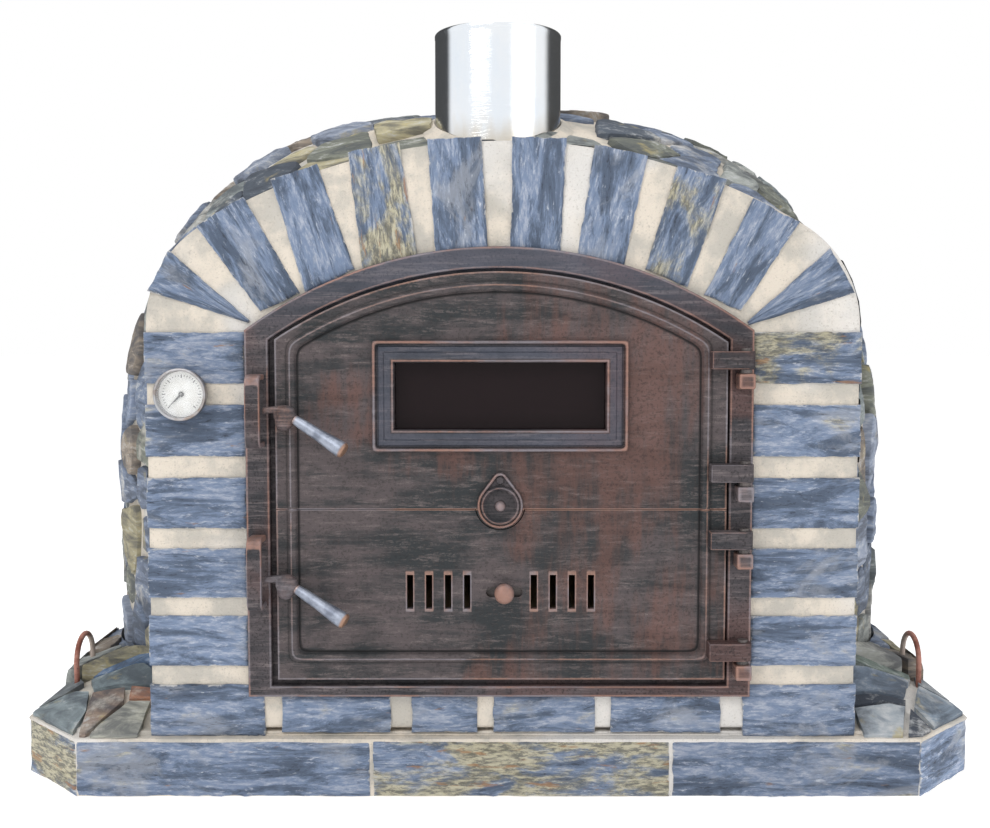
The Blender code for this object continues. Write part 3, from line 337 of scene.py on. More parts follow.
def mortar_finish():
    """Sandy cream mortar: blotches from grey to near white, and a grain of sand in the bump."""
    paint = Paint("mortar", Specular_IOR_Level=0.2)
    where = paint.place()
    blotch, cloud = paint.noise(where, 18.0, 6.0, 0.65), paint.noise(where, 5.0, 3.0, 0.5)
    sand = paint.noise(where, 420.0, 3.0, 0.7)
    colour = paint.mix(paint.step(blotch, 0.40, 0.60), (0.50, 0.47, 0.42), (0.70, 0.63, 0.54))
    colour = paint.over(colour, (0.73, 0.715, 0.70), cloud, 0.48, 0.62, 0.7)
    colour = paint.over(colour, (0.36, 0.33, 0.29), sand, 0.56, 0.68, 0.5)
    height = sand * 0.4 + blotch * 0.9
    return paint.done(Base_Color=colour, Roughness=blotch * 0.1 + 0.85,
                      Normal=paint.bump(height, 0.0030, 0.9))


slate, mortar = slate_finish(), mortar_finish()
print("finishes:", slate.name, mortar.name)

# %% [markdown]
# ## A slate with a split face
# Each slate is a closed body. Its face is a grid of points between four corners, raised and
# lowered by noise that is stretched along the grain and cut into shallow terraces, the way slate
# splits in sheets. The outline is nibbled a little, the edge rolls over, and the sides run
# straight back.

# %% Slates


def edge_spacing(length, cell, edge=0.0012):
    """Places from 0 to 1 with two close ones at each end, where the edge rolls over."""
    near = np.array([0.0, edge, 3 * edge]) / length
    middle = np.linspace(near[-1], 1 - near[-1], max(int(length / cell), 3))[1:-1]
    return np.concatenate([near, middle, 1 - near[::-1]])


def split_slate(corners, back, seed, cell=0.005, relief=0.0016, nibble=0.0015):
    """Points and faces of one slate, its grain coordinates and the way to its rim.

    Face point = corners blended by (u, v) + normal * (terraced noise - roll at the edge);
    back is the vector from the face to the hidden side.
    """
    a, b, c, d = (np.asarray(corner, float) for corner in corners)
    back = np.asarray(back, float)
    long, wide = np.linalg.norm(b - a), max(np.linalg.norm(d - a), np.linalg.norm(c - b))
    u, v = np.meshgrid(edge_spacing(long, cell), edge_spacing(wide, cell * 0.8), indexing="ij")
    rows, columns = u.shape
    centre = (a + b + c + d) / 4
    flat = ((a * (1 - u[..., None]) + b * u[..., None]) * (1 - v[..., None])
            + (d * (1 - u[..., None]) + c * u[..., None]) * v[..., None])
    grain = np.stack([u * long, v * wide, np.full_like(u, seed * 0.37)], -1)
    rim = np.minimum(np.minimum(u, 1 - u) * long, np.minimum(v, 1 - v) * wide)
    stretched = grain * (0.22, 1.0, 1.0)
    rough = unevenness(stretched, 0.011, seed)
    broad = unevenness(stretched, 0.045, seed + 50, 2)
    terrace = np.round((broad + 0.3 * rough) * 3) / 3
    height = relief * (0.55 * terrace + 0.45 * rough - 0.62) - 0.0016 * np.exp(-rim / 0.0011)
    normal = -back / np.linalg.norm(back)
    bite = nibble * unevenness(grain, 0.011, seed + 90) * np.exp(-rim / 0.004)
    inward = centre - flat
    inward /= np.linalg.norm(inward, axis=-1, keepdims=True) + 1e-9
    face = flat + normal * height[..., None] + inward * (bite + 0.2 * nibble)[..., None]
    # the rim, walked once round, is carried back to make the sides
    i = np.concatenate([np.arange(rows - 1), np.full(columns - 1, rows - 1),
                        np.arange(rows - 1, 0, -1), np.zeros(columns - 1, int)])
    j = np.concatenate([np.zeros(rows - 1, int), np.arange(columns - 1),
                        np.full(rows - 1, columns - 1), np.arange(columns - 1, 0, -1)])
    behind = face[i, j] - normal * (normal @ (face[i, j] - flat[i, j]).T)[:, None] + back
    n, first = len(i), rows * columns
    rim_ids = i * columns + j
    sides = [[int(rim_ids[k]), int(rim_ids[(k + 1) % n]), first + (k + 1) % n, first + k]
             for k in range(n)]
    faces = grid_faces(rows, columns) + sides + [list(range(first, first + n))[::-1]]
    points = np.concatenate([face.reshape(-1, 3), behind])
    # the hidden rim takes grain coordinates that go on past the edge
    along = grain[i, j] + (0.0, 0.0, 0.02)
    rim = np.concatenate([rim.ravel(), np.zeros(n)])
    return points, faces, np.concatenate([grain.reshape(-1, 3), along]), rim


def slate_piece(name, corners, back, seed, light=1.0, stain=0.0, stands_for=(), **shape):
    points, faces, grain, rim = split_slate(corners, back, seed, **shape)
    n = len(points)
    return tidy(piece(name, points, faces, slate, "oven", "slate", stands_for, 35, grain=grain,
                      rim=rim, light=np.full(n, light), stain=np.full(n, stain)))


# %% [markdown]
# ## The front arch
# The arch is a wall 130 mm deep. Its mortar is one closed body: at each place round the outline a
# profile runs from the back over the outer side, across the front and back along the opening. The
# slates are bedded in its face. Their corners are given in millimetres as (x, z).

# %% Lines of the arch and of the door
COLLAR_DEPTH = 0.060                # the frame's collar runs this far back into the arch
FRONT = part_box("door_frame")[1].y - COLLAR_DEPTH
SLAB_MIN, SLAB_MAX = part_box("base_slab")
ARCH_MIN, ARCH_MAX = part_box("arch_facing")
ARCH_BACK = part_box("front_arch")[1].y
ARCH_X = (ARCH_MIN.x + ARCH_MAX.x) / 2
ARCH_HALF = (ARCH_MAX.x - ARCH_MIN.x) / 2
ARCH_TOP, ARCH_SPRING, HAUNCH = ARCH_MAX.z, 0.520, 0.130      # haunch is a radius
SLAB_TOP = SLAB_MAX.z
FACE_Y = ARCH_MIN.y
print("front face of the arch at y =", round(FACE_Y, 4))


def walk(corner_lines, counts):
    """Points along straight or curved stretches, each given as a function of 0 to 1."""
    return np.concatenate([
        line(np.arange(count) / count) for line, count in zip(corner_lines, counts)])


def straight(a, b):
    a, b = np.asarray(a, float), np.asarray(b, float)
    return lambda t: a + (b - a) * t[:, None]


def bow(centre, radius, first, last):
    """Centre + radius * (cos, sin) from one angle to another, in radians."""
    return lambda t: np.stack([
        centre[0] + radius * np.cos(first + (last - first) * t),
        centre[1] + radius * np.sin(first + (last - first) * t)], -1)


def arch_line(inset=0.0, bottom=SLAB_TOP + 0.0006, counts=(40, 40, 18, 60, 18, 40)):
    """The arch's outline moved in: two piers, a tight bow at each haunch, a wide one on top."""
    reach, rise = ARCH_HALF - HAUNCH, ARCH_TOP - ARCH_SPRING
    crown = (reach**2 + rise**2 - HAUNCH**2) / (2 * (rise - HAUNCH))
    low = ARCH_TOP - crown
    turn = math.atan2(ARCH_SPRING - low, reach)
    half, foot = ARCH_HALF - inset, bottom + inset
    return walk([
        straight((ARCH_X - half, foot), (ARCH_X + half, foot)),
        straight((ARCH_X + half, foot), (ARCH_X + half, ARCH_SPRING)),
        bow((ARCH_X + reach, ARCH_SPRING), HAUNCH - inset, 0, turn),
        bow((ARCH_X, low), crown - inset, turn, math.pi - turn),
        bow((ARCH_X - reach, ARCH_SPRING), HAUNCH - inset, math.pi - turn, math.pi),
        straight((ARCH_X - half, ARCH_SPRING), (ARCH_X - half, foot)),
    ], counts)


DOOR_MIN, DOOR_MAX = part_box("door_frame")
DOOR_X = (DOOR_MIN.x + DOOR_MAX.x) / 2
FRAME_HALF = (DOOR_MAX.x - DOOR_MIN.x) / 2
CROWN_RISE = 0.090                  # over the frame's sides
CROWN = (FRAME_HALF**2 + CROWN_RISE**2) / (2 * CROWN_RISE)
CROWN_Z = DOOR_MAX.z - CROWN


def door_line(left, right, bottom, radius, counts):
    """A line of the door: straight bottom and sides, and a bow round the shared centre."""
    first, last = (math.acos((x - DOOR_X) / radius) for x in (right, left))
    spring_right = CROWN_Z + radius * math.sin(first)
    spring_left = CROWN_Z + radius * math.sin(last)
    return walk([
        straight((left, bottom), (right, bottom)),
        straight((right, bottom), (right, spring_right)),
        bow((DOOR_X, CROWN_Z), radius, first, last),
        straight((left, spring_left), (left, bottom)),
    ], counts)


def frame_line(inset, counts):
    half = FRAME_HALF - inset
    return door_line(DOOR_X - half, DOOR_X + half, DOOR_MIN.z + inset, CROWN - inset, counts)


def at_depths(lines, depths):
    """A grid whose row k is line k of (x, z) points, standing at depth k."""
    return np.stack([np.insert(line, 1, y, axis=1) for line, y in zip(lines, depths)])


def ring_body(lines, depths):
    """A closed band of such rows: the last joins the first."""
    grid = at_depths(lines, depths)
    return grid, grid_faces(*grid.shape[:2], True, True)


# %% Mortar of the arch
def arch_mortar():
    """Outer and inner lines blended across the face; noise moves the face in and out."""
    around = (56, 48, 18, 60, 18, 48)
    outer, inner = arch_line(0.004, counts=around), frame_line(0.011, (56, 48, 96, 48))
    across = [outer * (1 - t) + inner * t for t in np.linspace(0, 1, 22)]
    lines = [outer, arch_line(0.0025, counts=around), *across, inner]
    depths = [ARCH_BACK, FACE_Y + 0.008] + [FACE_Y + 0.0050] * 22 + [ARCH_BACK]
    grid, faces = ring_body(lines, depths)
    front = grid[2:-1]
    front[..., 1] += (0.0013 * unevenness(front, 0.045, 3) + 0.0007 * unevenness(front, 0.008, 4))
    front[0, :, 1] += 0.0015
    return tidy(piece("arch_mortar", grid, faces, mortar, "oven", "mortar",
                      ("front_arch", "arch_facing"), 60))


arch_body = arch_mortar()
print("mortar of the arch:", len(arch_body.data.vertices), "points")

# %% [markdown]
# The voussoirs fan out round the crown and taper towards the door, and six slates lie in each
# pier. Their measured corners are kept in one table each, with how light and how stained every
# stone is.

# %% Slates of the arch
VOUSSOIRS = [  # outer edge, inner edge (mm), lightness, stain
    (((-376.5, 559), (-355.5, 599.5)), ((-273.5, 524.5), (-271, 527.5)), 0.95, 0.0),
    (((-324, 627), (-275.5, 657)), ((-261.5, 543), (-220.5, 562)), 0.98, 0.0),
    (((-243, 676), (-196, 692)), ((-210, 564), (-159.5, 589)), 1.0, 0.25),
    (((-160.5, 705.5), (-108, 715)), ((-146.5, 588), (-89.5, 601.5)), 1.08, 0.62),
    (((-75, 719), (-19.5, 721)), ((-67, 603.5), (-13, 608)), 1.05, 0.0),
    (((16.5, 721), (72, 720)), ((14.5, 608), (66, 606)), 1.0, 0.02),
    (((105, 713), (159.5, 701.5)), ((87.5, 601.5), (136, 593)), 1.0, 0.0),
    (((194, 690.5), (244, 676)), ((162.5, 589), (206, 570)), 1.0, 0.5),
    (((275.5, 655), (323, 631.5)), ((228.5, 561), (265.5, 543)), 0.95, 0.0),
    (((358, 601.5), (383.5, 557)), ((271.5, 526.5), (274, 522)), 0.92, 0.05),
]
REACH = (2, 8, 8, 7, 6, 6, 7, 8, 8, 2)      # mm that the inner end goes on towards the door
PIERS = [  # bottom and top z (mm), then lightness and stain on the left and on the right
    (458, 513, (0.92, 0.12), (0.98, 0.66)), (378, 434, (0.95, 0.30), (1.02, 0.08)),
    (299, 354, (0.98, 0.0), (1.0, 0.0)), (222, 276, (1.0, 0.18), (0.98, 0.05)),
    (146, 201, (1.08, 0.0), (1.0, 0.12)), (66.8, 124, (0.98, 0.15), (0.96, 0.0)),
]
SILLS = [  # left and right x (mm), lightness, stain
    (-240, -119, 1.0, 0.12), (-96, -23, 0.92, 0.0), (-6, 107, 0.95, 0.18), (124, 246, 0.98, 0.0)]
SLATE_Y, SLATE_BACK = FACE_Y + 0.0006, (0.0, 0.010, 0.0)


def on_face(x, z, y=SLATE_Y):
    return (x / 1000, y, z / 1000)


for number, (outer, inner, light, stain) in enumerate(VOUSSOIRS, 1):
    # the grain runs from the outer edge towards the door; the ends reach a little past the points
    outer, inner = np.array(outer, float), np.array(inner, float)
    way = (inner - outer) / np.linalg.norm(inner - outer, axis=1, keepdims=True)
    wide = np.array([[-1.6], [1.6]]) * (outer[1] - outer[0]) / np.linalg.norm(outer[1] - outer[0])
    outer = outer - way * 2.5 + wide
    inner = inner + way * REACH[number - 1] + wide * (number % 9 != 1)
    corners = [on_face(*outer[0]), on_face(*inner[0]), on_face(*inner[1]), on_face(*outer[1])]
    slate_piece(f"voussoir_{number}", corners, SLATE_BACK, 10 + number, light, stain,
                ("arch_facing",))


def level_slate(name, left, right, low, high, *look):
    """A slate laid level in the face, from its sides and its bottom and top in millimetres."""
    corners = [on_face(left, low), on_face(right, low), on_face(right, high), on_face(left, high)]
    slate_piece(name, corners, SLATE_BACK, *look, ("arch_facing",))


for number, (low, high, *tones) in enumerate(PIERS, 1):
    inward = 258.5 if number == 6 else 276
    right_inward = inward + (2 if number < 6 else 12)
    level_slate(f"pier_slate_left_{number}", -385.5, -inward, low, high + 1, 30 + 2 * number,
                *tones[0])
    level_slate(f"pier_slate_right_{number}", right_inward, 395.5, low, high + 1, 31 + 2 * number,
                *tones[1])
for number, (left, right, *look) in enumerate(SILLS, 1):
    level_slate(f"sill_slate_{number}", left, right, 71, 112.5, 60 + number, *look)
print("slates in the arch:", len(VOUSSOIRS) + 2 * len(PIERS) + len(SILLS))

# %% [markdown]
# ## The slab and its band of tiles
# The slab is cast with mortar and edged with slate tiles. In plan it is a square with its corners
# cut off. The body is a stack of outlines: each is the same eight-sided line moved in by an
# amount, with noise so that the trowelled edge wavers.

# %% Slab
HALF = SLAB_MAX.x
CUT = 0.082
TILE_LOW, TILE_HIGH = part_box("front_tile_left")[0].z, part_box("front_tile_left")[1].z


def octagon(inset):
    """The slab's eight corners in plan, moved in by a distance."""
    e, c = HALF - inset, CUT - inset * (2 - math.sqrt(2))
    return np.array([(-e + c, -e), (e - c, -e), (e, -e + c), (e, e - c), (e - c, e), (-e + c, e),
                     (-e, e - c), (-e, -e + c)])


def along_octagon(inset, cell=0.012):
    """Points spaced along all eight sides."""
    corners = octagon(inset)
    counts = [max(int(np.linalg.norm(b - a) / cell), 2)
              for a, b in zip(octagon(0), np.roll(octagon(0), -1, axis=0))]
    return walk([straight(a, b) for a, b in zip(corners, np.roll(corners, -1, axis=0))], counts)


def slab_body():
    """Outlines moved in by insets at rising levels; noise only ever moves them further in."""
    insets = [0.014, 0.0035, 0.0035, 0.0028, 0.0016, 0.0012, 0.0022, 0.0080, 0.0125, 0.0145, 0.06,
              0.2, 0.36]
    levels = [0.0, 0.0015, 0.045, 0.0605, 0.0630, 0.0648, 0.0666, 0.0672, 0.0675, 0.0712, 0.0716,
              0.0716, 0.0716]
    rings = np.stack([np.insert(along_octagon(inset), 2, z, axis=1)
                      for inset, z in zip(insets, levels)])
    noise = unevenness(rings, 0.03, 11) * 0.0009 + unevenness(rings, 0.009, 12) * 0.0006
    noise[0], noise[-1] = 0.0, 0.0
    flat = rings[..., :2] / np.linalg.norm(rings[..., :2], axis=-1, keepdims=True)
    rings[..., :2] -= flat * (np.abs(noise))[..., None]
    rings[5:-1, :, 2] += noise[5:-1] - 0.0006
    return piece("slab_mortar", rings, capped(*rings.shape[:2]), mortar, "oven", "mortar",
                 ("base_slab",), 50)


def tile(name, start, end, seed, light, stain, node):
    """One tile of the band between two points in plan, its face outwards."""
    start, end = np.asarray(start, float), np.asarray(end, float)
    step = (end - start) / np.linalg.norm(end - start)
    inward = np.array([-step[1], step[0]])
    a, b = start + step * 0.0018, end - step * 0.0018
    low, high = TILE_LOW + 0.0004, TILE_HIGH
    corners = [(*a, low), (*b, low), (*b, high), (*a, high)]
    slate_piece(name, corners, (*(inward * 0.0115), 0.0), seed, light, stain, (node,),
                relief=0.0022, nibble=0.0018)


slab_body()
ring = octagon(0.0)
front = [ring[0] + (ring[1] - ring[0]) * share for share in (0.0, 0.3506, 0.7037, 1.0)]
FRONT_LOOKS = (("left", 0.95, 0.06), ("middle", 0.98, 0.66), ("right", 0.86, 0.10))
for number, (side, light, stain) in enumerate(FRONT_LOOKS):
    tile(f"slab_tile_front_{side}", front[number], front[number + 1], 80 + number, light, stain,
         f"front_tile_{side}")
tile("slab_tile_corner_right", ring[1], ring[2], 84, 1.35, 0.15, "corner_tile_right")
tile("slab_tile_corner_left", ring[7], ring[0], 85, 1.15, 0.78, "corner_tile_left")
for side, first, node in (("right", 2, "side_tile_right"), ("back", 4, "back_tile"),
                          ("left", 6, "side_tile_left")):
    ends = [ring[first] + (ring[(first + 1) % 8] - ring[first]) * t for t in (0, 0.34, 0.68, 1.0)]
    for part in range(3):
        light = 0.92 + 0.05 * ((part * 7 + first) % 3)
        stain = (0.05, 0.5, 0.2)[(part + first // 2) % 3]
        tile(f"slab_tile_{side}_{part + 1}", ends[part], ends[part + 1], 90 + first * 4 + part,
             light, stain, node)
tile("slab_tile_rear_right", ring[3], ring[4], 87, 1.05, 0.3, "side_tile_right")
tile("slab_tile_rear_left", ring[5], ring[6], 88, 1.0, 0.1, "side_tile_left")
print("slab is", round(2 * HALF, 3), "m wide")

# %% [markdown]
# ## Rubble stones
# The dome and the corners of the slab are faced with broken slate, laid like crazy paving. Each
# stone is the patch of surface nearer to its own seed than to any other, shrunk by the joint.
# Round its seed the outline is r(a) = (sum over neighbours of (cos(a - a_j) / d_j)^p)^(-1/p),
# where d_j is half the way to neighbour j, so a large p gives straight sides with slightly
# rounded corners.

# %% Stone outlines
SPOKES = 26


def to_neighbours(seeds, count):
    """Offsets from each seed to the seeds nearest to it."""
    apart = np.linalg.norm(seeds[:, None] - seeds[None], axis=2)
    return seeds[np.argsort(apart, axis=1)[:, 1:count + 1]] - seeds[:, None]


def stone_outlines(offsets, joint, sharp=22):
    """Radius of each stone in every spoke's direction, from the offsets (N, K, 2) of neighbours."""
    angles = np.arange(SPOKES) * 2 * np.pi / SPOKES
    away = np.linalg.norm(offsets, axis=2)
    toward = np.arctan2(offsets[..., 1], offsets[..., 0])
    pull = np.cos(angles - toward[..., None]) / (away / 2 - joint / 2)[..., None]
    radius = (np.clip(pull, 1e-3, None)**sharp).sum(1)**(-1 / sharp)
    return np.minimum(radius, 0.11), angles


def stones(place, offsets, joint, proud, sunk):
    """Closed stones: rings from the middle of the top over the edge to a hidden foot.

    place(number, a, b, h) puts local coordinates and a height on the surface.
    """
    radius, angles = stone_outlines(offsets, joint)
    n = len(offsets)
    share = np.array([0.3, 0.62, 0.88, 0.965, 0.995, 1.01, 1.0])
    drop = np.array([0.0, 0.0, 0.0003, 0.0010, 0.0032, 0.0085, 0.0])
    a = radius[:, None, :] * share[:, None] * np.cos(angles)
    b = radius[:, None, :] * share[:, None] * np.sin(angles)
    number = np.arange(n)[:, None, None] + np.zeros_like(a, int)
    seeded = np.stack([a, b, number * 3.7], -1)
    a = a + 0.0035 * unevenness(seeded, 0.022, 21) * share[:, None]
    b = b + 0.0035 * unevenness(seeded, 0.022, 22) * share[:, None]
    lean = rng.normal(0, 0.035, (2, n))[..., None, None]
    rough = unevenness(seeded * (1, 2.2, 1), 0.02, 23)
    height = (proud[:, None, None] + lean[0] * a + lean[1] * b + 0.0022 * rough
              - drop[:, None] * (1 + 0.4 * rough))
    height[:, -1] = sunk
    height[:, :-1] = np.clip(height[:, :-1], sunk + 0.001, proud.max() + 0.003)
    middle, zero = np.arange(n), np.zeros(n)
    top = place(middle, zero, zero, height[:, 0].mean(1) + 0.0004)
    foot = place(middle, zero, zero, zero + sunk)
    rings = place(number, a, b, height)
    rows = len(share)
    block = np.concatenate([rings.reshape(n, -1, 3), top[:, None], foot[:, None]], 1)
    pattern = [face[::-1] for face in grid_faces(rows, SPOKES, False, True)]
    last = (rows - 1) * SPOKES
    pattern += [[j, (j + 1) % SPOKES, rows * SPOKES] for j in range(SPOKES)]
    pattern += [[last + (j + 1) % SPOKES, last + j, rows * SPOKES + 1] for j in range(SPOKES)]
    size = block.shape[1]
    faces = [[k + i * size for k in face] for i in range(n) for face in pattern]
    return block.reshape(-1, 3), faces, size


# %% [markdown]
# ## Rubble finish
# The rubble is the same slate as it breaks: blue-grey, grey-green, brown and some ochre. Each
# stone has its own colour as an attribute, and the finish lays veins, pale bruises and dirt over
# it.

# %% Rubble colours
RUBBLE = np.array([
    (0.20, 0.245, 0.34), (0.15, 0.19, 0.27), (0.27, 0.31, 0.40), (0.24, 0.27, 0.27),
    (0.33, 0.35, 0.33), (0.20, 0.21, 0.17), (0.30, 0.25, 0.20), (0.40, 0.36, 0.23),
    (0.45, 0.45, 0.42), (0.10, 0.12, 0.15)])


def rubble_finish():
    paint = Paint("rubble_slate", Specular_IOR_Level=0.3)
    own = paint.node("Attribute", {"attribute_name": "own_colour"}, (), "Color")
    where = paint.place()
    veins = paint.noise(paint.place((14.0, 14.0, 60.0)), 1.0, 7.0, 0.65, 0.8)
    fine = paint.noise(paint.place((90.0, 90.0, 260.0)), 1.0, 4.0, 0.7)
    spots = paint.noise(where, 22.0, 5.0, 0.6, 0.4)
    colour = paint.over(own, (0.050, 0.058, 0.075), veins, 0.62, 0.36, 0.75)
    colour = paint.over(colour, (0.55, 0.56, 0.57), veins * 0.6 + fine * 0.4, 0.52, 0.68, 0.8)
    colour = paint.over(colour, (0.46, 0.38, 0.17), spots, 0.60, 0.72, 0.6)
    dust = paint.step(paint.noise(where, 9.0, 6.0, 0.7), 0.56, 0.70)
    colour = paint.mix(dust * 0.55, colour, (0.66, 0.63, 0.57))
    return paint.done(Base_Color=colour, Roughness=fine * 0.2 + 0.65,
                      Normal=paint.bump(veins * 0.6 + fine * 0.4, 0.0035, 0.8))


rubble = rubble_finish()
print("rubble colours:", len(RUBBLE))


def rubble_piece(name, block, faces, size, colours, stands_for=()):
    return piece(name, block, faces, rubble, "oven", "dome_stone", stands_for, 38,
                 own_colour=np.repeat(colours, size, axis=0))


# %% [markdown]
# ## The dome
# In plan the dome is round and its wall curves over like a squared ellipse: (r / a)^n + ((z -
# foot) / b)^n = 1. A point is brought to that surface by scaling it from the dome's middle, and
# moved off it along the slope of the formula. A mortar shell lies under the stones.

# %% Dome surface
CLAD_MIN, CLAD_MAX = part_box("stone_cladding")
DOME_A, DOME_N, DOME_FOOT = CLAD_MAX.x, 2.58, 0.297
DOME_B = CLAD_MAX.z - DOME_FOOT
DOME_Y = CLAD_MAX.y - DOME_A
FLUE_MIN, FLUE_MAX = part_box("flue_pipe")
FLUE_Y, FLUE_R = (FLUE_MIN.y + FLUE_MAX.y) / 2, (FLUE_MAX.x - FLUE_MIN.x) / 2


def on_dome(points, height, grow=0.0):
    """Scales points from the dome's middle onto its surface, then out along the normal."""
    local = np.asarray(points, float) - (0.0, DOME_Y, DOME_FOOT)
    above = np.clip(local[..., 2], 0.0, None)
    across = np.hypot(local[..., 0], local[..., 1])
    share = ((across / DOME_A)**DOME_N + (above / DOME_B)**DOME_N)**(-1 / DOME_N)
    z = np.where(local[..., 2] > 0, above * share, local[..., 2])
    local = np.concatenate([local[..., :2] * share[..., None], z[..., None]], -1)
    across = np.hypot(local[..., 0], local[..., 1]) + 1e-9
    slope = (across / DOME_A)**(DOME_N - 1) / DOME_A
    rise = (np.clip(local[..., 2], 0, None) / DOME_B)**(DOME_N - 1) / DOME_B
    normal = np.concatenate([local[..., :2] / across[..., None] * slope[..., None],
                             rise[..., None]], -1)
    normal /= np.linalg.norm(normal, axis=-1, keepdims=True)
    place = local + (0.0, DOME_Y, DOME_FOOT) + normal * (np.asarray(height) + grow)[..., None]
    return place, normal


def dome_seeds(course=0.062, width=0.098):
    """Seeds in rough courses: rings at even steps along the wall, with jitter both ways."""
    angle = np.linspace(0, np.pi / 2, 400)
    r, z = DOME_A * np.cos(angle)**(2 / DOME_N), DOME_B * np.sin(angle)**(2 / DOME_N) + DOME_FOOT
    r, z = np.insert(r, 0, DOME_A), np.insert(z, 0, SLAB_TOP + 0.02)
    way = np.insert(np.cumsum(np.hypot(np.diff(r), np.diff(z))), 0, 0.0)
    seeds = []
    for level in np.arange(course / 2, way[-1], course):
        count = max(int(round(2 * np.pi * np.interp(level, way, r) / width)), 1)
        turn = np.arange(count) + rng.uniform(-0.32, 0.32, count) + rng.uniform()
        turn = turn * 2 * np.pi / count
        at = np.clip(level + rng.uniform(-0.34, 0.34, count) * course, 0.01, way[-1])
        here_r, here_z = np.interp(at, way, r), np.interp(at, way, z)
        seeds.append(np.stack([here_r * np.sin(turn), DOME_Y - here_r * np.cos(turn), here_z], -1))
    return np.concatenate(seeds)


def dome_rubble():
    seeds = dome_seeds()
    seeds, normal = on_dome(seeds, np.zeros(len(seeds)))
    level = np.cross(normal, (0.0, 0.0, 1.0))
    flat = np.linalg.norm(level, axis=1) < 1e-3
    level[flat] = (1.0, 0.0, 0.0)
    level /= np.linalg.norm(level, axis=1, keepdims=True)
    upward = np.cross(normal, level)
    gap = to_neighbours(seeds, 12)
    offsets = np.stack([(gap * level[:, None]).sum(-1), (gap * upward[:, None]).sum(-1)], -1)
    keep = ((seeds[:, 1] > ARCH_BACK - 0.012)
            & (np.hypot(seeds[:, 0], seeds[:, 1] - FLUE_Y) > FLUE_R + 0.012))
    seeds, level, upward, offsets = seeds[keep], level[keep], upward[keep], offsets[keep]

    def place(number, a, b, h):
        points = (seeds[number] + level[number] * np.asarray(a)[..., None]
                  + upward[number] * np.asarray(b)[..., None])
        points, _ = on_dome(points, h)
        # walls against the arch lean a little, and no two lie in one plane
        number, h = np.asarray(number), np.asarray(h)
        wall = ARCH_BACK + 0.0008 + 0.15 * (h + 0.016) + 0.0006 * (number % 5)
        points[..., 1] = np.maximum(points[..., 1], wall)
        points[..., 2] = np.maximum(points[..., 2], SLAB_TOP + 0.0015)
        away = points[..., :2] - (0.0, FLUE_Y)
        reach = np.linalg.norm(away, axis=-1, keepdims=True)
        near_pipe = (reach < FLUE_R + 0.005) & (points[..., 2:] > 0.5)
        clear = (0.0, FLUE_Y) + away / (reach + 1e-9) * (FLUE_R + 0.005)
        points[..., :2] = np.where(near_pipe, clear, points[..., :2])
        return points

    count = len(seeds)
    proud = rng.uniform(-0.006, 0.004, count)
    block, faces, size = stones(place, offsets, 0.007, proud, -0.016)
    pick = rng.choice(len(RUBBLE), count,
                      p=[0.16, 0.12, 0.14, 0.12, 0.12, 0.07, 0.07, 0.09, 0.08, 0.03])
    colours = RUBBLE[pick] * rng.uniform(0.85, 1.25, (count, 1))
    rubble_piece("dome_stones", block, faces, size, colours, ("stone_cladding",))
    print("dome stones:", count)


def dome_bedding():
    """The mortar shell: the dome's formula turned round, a ring for each level, lumpy outside."""
    angle = np.linspace(0, np.pi / 2, 40)[1:-1]
    r = np.concatenate([np.full(9, DOME_A), DOME_A * np.cos(angle)**(2 / DOME_N), [0.02]])
    z = np.concatenate([np.linspace(SLAB_TOP + 0.0008, DOME_FOOT, 9),
                        DOME_FOOT + DOME_B * np.sin(angle)**(2 / DOME_N), [DOME_FOOT + DOME_B]])
    turn = np.arange(160) * 2 * np.pi / 160
    shells = []
    for depth in (-0.0085, -0.0285):
        ring = np.stack([r[:, None] * np.sin(turn), DOME_Y - r[:, None] * np.cos(turn),
                         z[:, None] + 0 * turn], -1)
        lumps = 0.0032 * unevenness(ring, 0.05, 31) + 0.0014 * unevenness(ring, 0.014, 32)
        ring, _ = on_dome(ring, depth + lumps * (depth > -0.02))
        ring[0, :, 2] = SLAB_TOP + 0.0008
        shells.append(ring)
    grid = np.concatenate([shells[0][::-1], shells[1]])
    made = tidy(piece("dome_bedding", grid, capped(*grid.shape[:2], True), mortar, "oven", "mortar",
                      ("stone_cladding",), 60))
    wall = [(-0.9, -0.1), (0.9, -0.1), (0.9, 1.2), (-0.9, 1.2)]
    carve(made, *prism(wall, -1.5, ARCH_BACK + 0.0006))
    bore = FLUE_R + 0.003
    return carve(made, *turned([(0.0, 0.5), (bore, 0.5), (bore, 1.0), (0.0, 1.0)],
                               (0.0, FLUE_Y, 0.0), steps=48))


dome_rubble()
dome_bedding()


# %% [markdown]
# The arch's outer sides carry the same rubble, and a sloping collar of mortar seals the flue.

